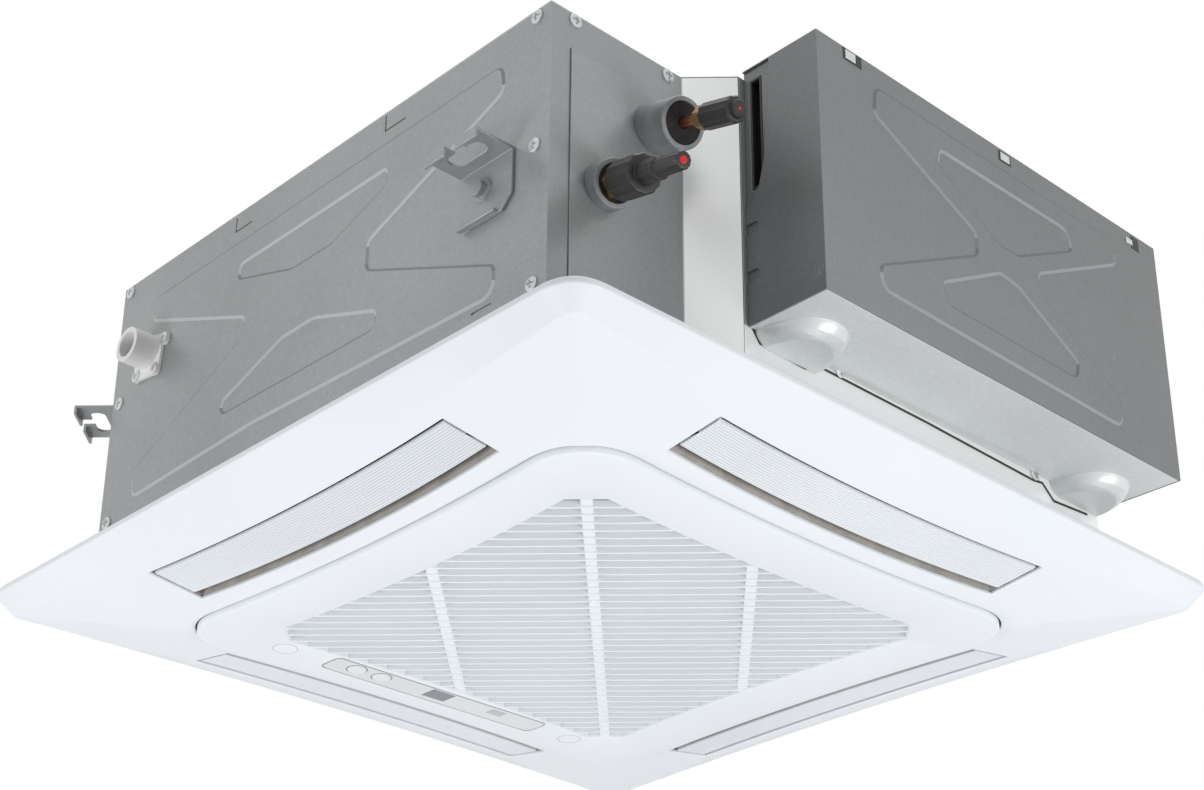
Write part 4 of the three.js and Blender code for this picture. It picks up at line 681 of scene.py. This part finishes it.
def side(ring, shift=0.0):
    """The -Y side of a ring, diagonal to diagonal: y = -(middle + bow (x/end)^2), then half of a corner bend whose
    tangents meet on the diagonal. Columns stand at the slot's ends, so that rings line up."""
    middle, bow, end = ring[0] + shift, ring[1], ring[2] + shift
    reach, slope = middle + bow, 2 * bow / end
    tip = end + (reach - end) / (1 - slope)
    x = np.concatenate([np.linspace(0, SLOT_HALF, SLOT_STEPS // 2 + 1),
                        np.linspace(SLOT_HALF, end, SHOULDER_STEPS + 1)[1:]])
    y = -(middle + bow * (x / end) ** 2)
    t = np.linspace(0, 0.5, CORNER_STEPS + 1)[1:]
    cx = (1 - t) ** 2 * end + 2 * t * (1 - t) * tip + t ** 2 * reach
    cy = -((1 - t) ** 2 * reach + 2 * t * (1 - t) * tip + t ** 2 * end)
    x, y = np.concatenate([x, cx]), np.concatenate([y, cy])
    return np.concatenate([-x[:0:-1], x]), np.concatenate([y[:0:-1], y])


def underside(distance):
    """Height of the panel's underside at a distance from the middle: a straight slope inside the crease."""
    return -(CREASE_DEPTH + (CREASE[0] - distance) * UNDER_SLOPE)


def ring_row(ring, z=None, lift=0.0, shift=0.0):
    """A ring's side as points, level at z, or on the sloping underside raised by lift."""
    x, y = side(ring, shift)
    return np.stack([x, y, np.full_like(x, z) if z is not None else underside(-y) + lift], axis=-1)


def four_sides(rows):
    """Rows of the -Y side turned to all four sides and joined end to end at the diagonals."""
    rows = np.asarray(rows)[:, :-1]
    turns = [np.array([[c, -s, 0], [s, c, 0], [0, 0, 1]]) for c, s in QUARTERS]
    return np.concatenate([rows @ t.T for t in turns], axis=1)


rows = [
    ring_row(RIM, 0.0, shift=-RIM_WIDTH), ring_row(RIM, 0.0), ring_row(RIM, -RIM_HEIGHT), ring_row(CREASE),
    ring_row(SLOT_OUT), ring_row(SLOT_IN), ring_row(SEAM), ring_row(SEAM, lift=PANEL_SKIN),
    ring_row(SEAM, lift=PANEL_SKIN, shift=2), ring_row(SEAM, LEDGE_Z, shift=2), ring_row(LEDGE, LEDGE_Z),
    ring_row(LEDGE, LEDGE_Z + PANEL_SKIN), ring_row(SEAM, LEDGE_Z + PANEL_SKIN, shift=5),
    ring_row(SEAM, lift=PANEL_SKIN, shift=5), ring_row(SLOT_IN, lift=PANEL_SKIN),
    ring_row(SLOT_OUT, lift=PANEL_SKIN), ring_row(CREASE, lift=PANEL_SKIN, shift=-PANEL_SKIN),
    ring_row(RIM, -RIM_HEIGHT + PANEL_SKIN, shift=-PANEL_SKIN)]
FRONT_OUT, FRONT_IN, BACK_IN, BACK_OUT = 4, 5, 14, 15
grid = four_sides(rows)
row_count, column_count = grid.shape[:2]
index = np.arange(row_count * column_count).reshape(row_count, column_count)
below, across = np.roll(index, -1, axis=0), np.roll(index, -1, axis=1)
diagonal = np.roll(across, -1, axis=0)
quads = np.stack([index, across, diagonal, below], axis=-1)
per_side = column_count // 4
first = CORNER_STEPS + SHOULDER_STEPS
in_slot = np.zeros(column_count, bool)
for k in range(4):
    in_slot[k * per_side + first:k * per_side + first + SLOT_STEPS] = True
keep = np.ones((row_count, column_count), bool)
keep[FRONT_OUT, in_slot] = False
keep[BACK_IN, in_slot] = False
walls = []
for k in range(4):
    columns = np.arange(k * per_side + first, k * per_side + first + SLOT_STEPS + 1)
    for a, b in ((FRONT_OUT, BACK_OUT), (FRONT_IN, BACK_IN)):
        walls += np.stack([index[a, columns[:-1]], index[a, columns[1:]],
                           index[b, columns[1:]], index[b, columns[:-1]]], -1).tolist()
    for c in (columns[0], columns[-1]):
        walls.append([index[FRONT_OUT, c], index[FRONT_IN, c], index[BACK_IN, c], index[BACK_OUT, c]])
panel_white = finish("panel_white", (0.735, 0.765, 0.80), (0.775, 0.80, 0.83), grain_tree, (0.38, 0.46), 0.0, 0.00004,
                     {"Grain": 1500.0, "Clouds": 3.0})
panel = piece("panel_moulding", grid.reshape(-1, 3),
              quads[keep].tolist() + [[int(i) for i in w] for w in walls], panel_white, 24)
soften(panel, 0.8, 28, 3)
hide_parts("decorative_panel")
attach(panel, "unit")


def turned_box(low, high, quarter):
    """A box's two corners turned by quarter turns about the vertical axis, sorted again by size."""
    (ax, ay), (bx, by) = (low[:2], high[:2])
    for _ in range(quarter):
        ax, ay, bx, by = -by, ax, -ay, bx
    return (min(ax, bx), min(ay, by), low[2]), (max(ax, bx), max(ay, by), high[2])


# Two lugs at each slot hold the louvre's pins; two more on three sides, and two hooks on the
# fourth, hold the grille.
lugs = []
for k in range(4):
    lugs += [turned_box((x, -264, underside(258) + 1.5), (x + 4.6, -252, -14.8), k) for x in (-167.9, 163.3)]
for k in (0, 2, 3):
    lugs += [turned_box((x - 4.5, -201.5, -27.8), (x + 4.5, -192.5, -17), k) for x in (-75, 75)]
lugs += [((209, y - 4, -31.3), (213, y + 4, -17)) for y in (-60, 60)]
panel_lugs = blocks("panel_lugs", lugs, panel_white)
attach(panel_lugs, "unit")

# ---- Duct foam ---------------------------------------------------------------------------
# A cut foam frame between panel and pan; its edge shows as a buff strip beside each louvre.
duct_buff = finish("duct_buff", (0.40, 0.37, 0.34), (0.52, 0.49, 0.46), grain_tree, (0.85, 0.95), 0.0, 0.0008,
                   {"Grain": 500.0, "Clouds": 80.0})
skin("duct_foam", duct_buff, 0)

# ---- Louvres -----------------------------------------------------------------------------
# A thin white blade in each slot, curved like the slot, its underside drawn into fine ribs
# that run the blade's length. It turns on a pin at each end, and a small motor drives it.
louvre_white = finish("louvre_white", (0.70, 0.725, 0.76), (0.75, 0.775, 0.80), grain_tree, (0.4, 0.5), 0.0, 0.00004,
                      {"Grain": 1500.0, "Clouds": 6.0})
# The floors of the blade's grooves are painted darker: painted shade in the ribs.
deep = louvre_white.node_tree.nodes.new("ShaderNodeAttribute")
deep.attribute_name = "groove"
overlay(louvre_white, scaled(louvre_white.node_tree, deep.outputs["Fac"], 0.75), (0.50, 0.525, 0.56))
BLADE_HALF, BLADE_GAP_OUT, BLADE_GAP_IN, BLADE_THICK, BLADE_INSET = 160.1, 3.5, 8.7, 2.4, 0.6
BOW_OUT, BOW_IN, RIB_COUNT, RIB_DEPTH, PIN_REACH, PIN_Z = 7.0, 8.9, 15, 0.9, 258, -18.2


def blade(quarter):
    """Across: grooves as the cube of a raised cosine of the width. Along: both edges follow
    y = middle + bow (x / half the slot)^2."""
    name = f"{SIDES[quarter]}_louvre"
    x = np.linspace(-BLADE_HALF, BLADE_HALF, 61)
    outer = SLOT_OUT[0] + BOW_OUT * (x / SLOT_HALF) ** 2 - BLADE_GAP_OUT
    inner = SLOT_IN[0] + BOW_IN * (x / SLOT_HALF) ** 2 + BLADE_GAP_IN
    v = np.linspace(0, 1, RIB_COUNT * 6 + 1)
    y = outer[None, :] + (inner - outer)[None, :] * v[:, None]
    groove = (0.5 - 0.5 * np.cos(2 * np.pi * RIB_COUNT * v)) ** 3
    edge = np.minimum(1, np.minimum(v, 1 - v) * 30)
    low = underside(y) + BLADE_INSET + 0.15 + (RIB_DEPTH * groove)[:, None] + (0.4 * (1 - edge))[:, None]
    high = underside(y) + BLADE_INSET + BLADE_THICK
    bottom = np.stack([np.broadcast_to(x, y.shape), -y, low], -1)
    top = np.stack([np.broadcast_to(x, y.shape), -y, high], -1)[::-1][::6]
    shell = np.concatenate([bottom, top])
    rows, columns = shell.shape[:2]
    idx = np.arange(rows * columns).reshape(rows, columns)
    below = np.roll(idx, -1, 0)
    quads = np.stack([idx, below, np.roll(below, -1, 1), np.roll(idx, -1, 1)], -1)[:, :-1]
    faces = quads.reshape(-1, 4).tolist() + [idx[:, 0].tolist(), idx[::-1, -1].tolist()]
    points = shell.reshape(-1, 3)
    for _ in range(quarter):
        points = np.stack([-points[:, 1], points[:, 0], points[:, 2]], -1)
    ob = piece(f"{name}_blade", points, faces, louvre_white, 30)
    # The groove marks carry the painted shade of the grooves' floors.
    depth = ob.data.attributes.new("groove", "FLOAT", "POINT")
    marks = np.concatenate([np.repeat(groove, x.size), np.zeros(len(points) - groove.size * x.size)])
    depth.data.foreach_set("value", marks[:len(ob.data.vertices)])
    # An ear over each end of the blade carries its pin.
    ears = blocks(f"{name}_ears", [turned_box((sign * 157.1, -262, -22.8), (sign * 160.1, -254, -16.4), quarter)
                                   for sign in (-1, 1)], louvre_white)
    c, s = QUARTERS[quarter]
    axis, hub = np.array([c, s, 0.0]), np.array([s * PIN_REACH, -c * PIN_REACH, PIN_Z])
    pins = [turned(f"{name}_pin_{end}", [(158, 0), (158, 1.8), (167.2, 1.8), (167.7, 1.3), (167.7, 0)],
                   hub, axis * sign, louvre_white, 20) for end, sign in (("a", 1), ("b", -1))]
    for part in [ob, ears, *pins]:
        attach(part, name)
    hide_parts(name)


for k in range(4):
    blade(k)
    skin(f"{SIDES[k]}_louvre_motor", motor_cast, 0.8)

# ---- Intake grille -----------------------------------------------------------------------
# One white moulding that hangs from two hooks: a frame with drawn-in sides, and behind its
# opening thin slats along one diagonal on three flat ribs along the other.
GRILLE_Z, OPENING = (-34.6, -28.0), (164.5, 6.9, 151.6)


def opening_side(shift, z):
    """The opening's -Y side up to the middle of its straight corner cut, moved out by shift. The cut's end
    moves by 0.41, the tangent of 22.5 degrees, of that."""
    middle, bow, end = OPENING[0] + shift, OPENING[1], OPENING[2] + shift * 0.41
    reach = middle + bow
    t = np.linspace(0, 0.5, CORNER_STEPS + 1)[1:]
    x = np.concatenate([np.linspace(0, end, SLOT_STEPS // 2 + SHOULDER_STEPS + 1), end + (reach - end) * t])
    y = np.where(x <= end + 1e-9, -(middle + bow * (x / end) ** 2), -(reach - (x - end)))
    return np.stack([np.concatenate([-x[:0:-1], x]), np.concatenate([y[:0:-1], y]), np.full(2 * x.size - 1, z)], -1)


# The frame's rows go down its outer side, round its lower edge, and up the opening's wall.
frame_rows = [ring_row(GRILLE, GRILLE_Z[1])]
frame_rows += [ring_row(GRILLE, GRILLE_Z[0] + up, shift=-inward)
               for up, inward in ((1.3, 0), (0.8, 0.2), (0.35, 0.6), (0.1, 1.1), (0, 1.7))]
frame_rows += [opening_side(outward, GRILLE_Z[0] + up) for outward, up in ((1.6, 0), (0.5, 0.4), (0, 1.4))]
frame_rows += [opening_side(0, GRILLE_Z[1])]
grille_white = finish("grille_white", (0.735, 0.765, 0.80), (0.775, 0.80, 0.83), grain_tree, (0.38, 0.46), 0.0,
                      0.00004, {"Grain": 1500.0, "Clouds": 3.0})
grille_frame = surface("grille_frame", four_sides(frame_rows), grille_white, close_u=True, close_v=True, sharp=50)


def slat_rows(middles, half_width, z_low, z_high, along):
    """Bars across the opening. along is the bar's direction; each bar ends 2 mm inside the frame's wall, and its
    length comes from stepping along it to the opening's edge."""
    across = np.array([-along[1], along[0]])
    points, faces = [], []
    for m in middles:
        ends = []
        for edge in (-half_width, half_width):
            base = across * (m + edge)
            t = np.linspace(0, 260, 2601)   # tenths of a millimetre
            for sign in (-1, 1):
                p = np.abs(base[None, :] + sign * t[:, None] * along[None, :])
                reach = OPENING[0] + OPENING[1] * (p.min(1) / OPENING[2]) ** 2
                inside = (p.max(1) < reach) & (p.sum(1) < OPENING[0] + OPENING[1] + OPENING[2])
                ends.append(t[inside].max() + 2.0 if inside.any() else 0.0)
        if min(ends) <= 2.5:
            continue
        corner = [across * (m - half_width) - along * ends[0], across * (m + half_width) - along * ends[2],
                  across * (m + half_width) + along * ends[3], across * (m - half_width) + along * ends[1]]
        n = len(points)
        points += [(*c, z_low) for c in corner] + [(*c, z_high) for c in corner]
        faces += [(n + i, n + (i + 1) % 4, n + 4 + (i + 1) % 4, n + 4 + i) for i in range(4)]
        faces += [(n + 3, n + 2, n + 1, n), (n + 4, n + 5, n + 6, n + 7)]
    return points, faces


diag = np.array([1.0, 1.0]) / math.sqrt(2)
points, faces = slat_rows([(i - 18) * 11.98 for i in range(37)], 0.8, -34.2, -28.6, diag)
slats = piece("grille_slats", points, faces, grille_white)
soften(slats, 0.35)
points, faces = slat_rows([-111, 0, 111], 4.0, -32.4, -28.7, np.array([-1.0, 1.0]) / math.sqrt(2))
grille_ribs = piece("grille_ribs", points, faces, grille_white)
for ob in (grille_frame, slats, grille_ribs):
    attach(ob, "grille")
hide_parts("intake_grille")

filter_net = finish("filter_net", (0.50, 0.515, 0.53), (0.58, 0.595, 0.61), grain_tree, (0.7, 0.85), 0.0, 0.0004,
                    {"Grain": 1200.0, "Clouds": 12.0})
skin("air_filter", filter_net, 0)

# ---- Control strip, buttons and catches --------------------------------------------------
# A satin strip let into the grille frame, with two push buttons, a smoked receiver window
# and a small lamp window. A round push catch sits at each end of it.
STRIP_X, STRIP_Y = (-193.6, -169.6), (-108, 103.5)
strip_grey = finish("strip_grey", (0.64, 0.66, 0.67), (0.70, 0.72, 0.73), grain_tree, (0.3, 0.4))
smoked = finish("smoked", (0.17, 0.18, 0.21), (0.22, 0.23, 0.26), grain_tree, (0.12, 0.2), 0.0, 0.00001)
lamp_lens = finish("lamp_lens", (0.44, 0.43, 0.44), (0.50, 0.49, 0.50), grain_tree, (0.15, 0.25), 0.0, 0.00001)
button_white = finish("button_white", (0.70, 0.71, 0.72), (0.76, 0.77, 0.78), grain_tree, (0.25, 0.35))
skin("control_strip", strip_grey, 0.3)
skin("receiver_window", smoked, 0.2)
skin("lamp_window", lamp_lens, 0.2)
line_grey = finish("line_grey", (0.20, 0.21, 0.22), (0.26, 0.27, 0.28), grain_tree, (0.5, 0.6))


def ring_path(cx, cy, radius, half=(0, 0)):
    """A circle round a point, as (x, y); with half sizes, its quarters move apart into a rounded rectangle."""
    t = np.linspace(0, 2 * np.pi, 64, endpoint=False)
    x, y = np.cos(t) * radius, np.sin(t) * radius
    return np.stack([cx + x + np.sign(np.round(x, 6)) * half[0], cy + y + np.sign(np.round(y, 6)) * half[1]], 1)


outline = ring_path((STRIP_X[0] + STRIP_X[1]) / 2, (STRIP_Y[0] + STRIP_Y[1]) / 2, 5.3,
                    half=((STRIP_X[1] - STRIP_X[0]) / 2 - 5, (STRIP_Y[1] - STRIP_Y[0]) / 2 - 5))
marks = [("strip_outline", outline, 0.7, -34.95)]
marks += [(f"button_outline_{k + 1}", ring_path(-179.4, y, 8.1), 0.6, -35.05) for k, y in enumerate((-83.7, -59.8))]
marks += [(f"catch_outline_{k + 1}", ring_path(-183.7, y, 9.4), 0.35, -34.65) for k, y in enumerate((-147.9, 141.2))]
for name, path, width, low in marks:
    mark = ribbon(name, path, width, low, -34.5, line_grey, closed=True)
    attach(mark, "grille")
for n in (1, 2):
    skin(f"button_{n}", button_white, 0.6)
    skin(f"grille_catch_{n}", button_white, 0.5)
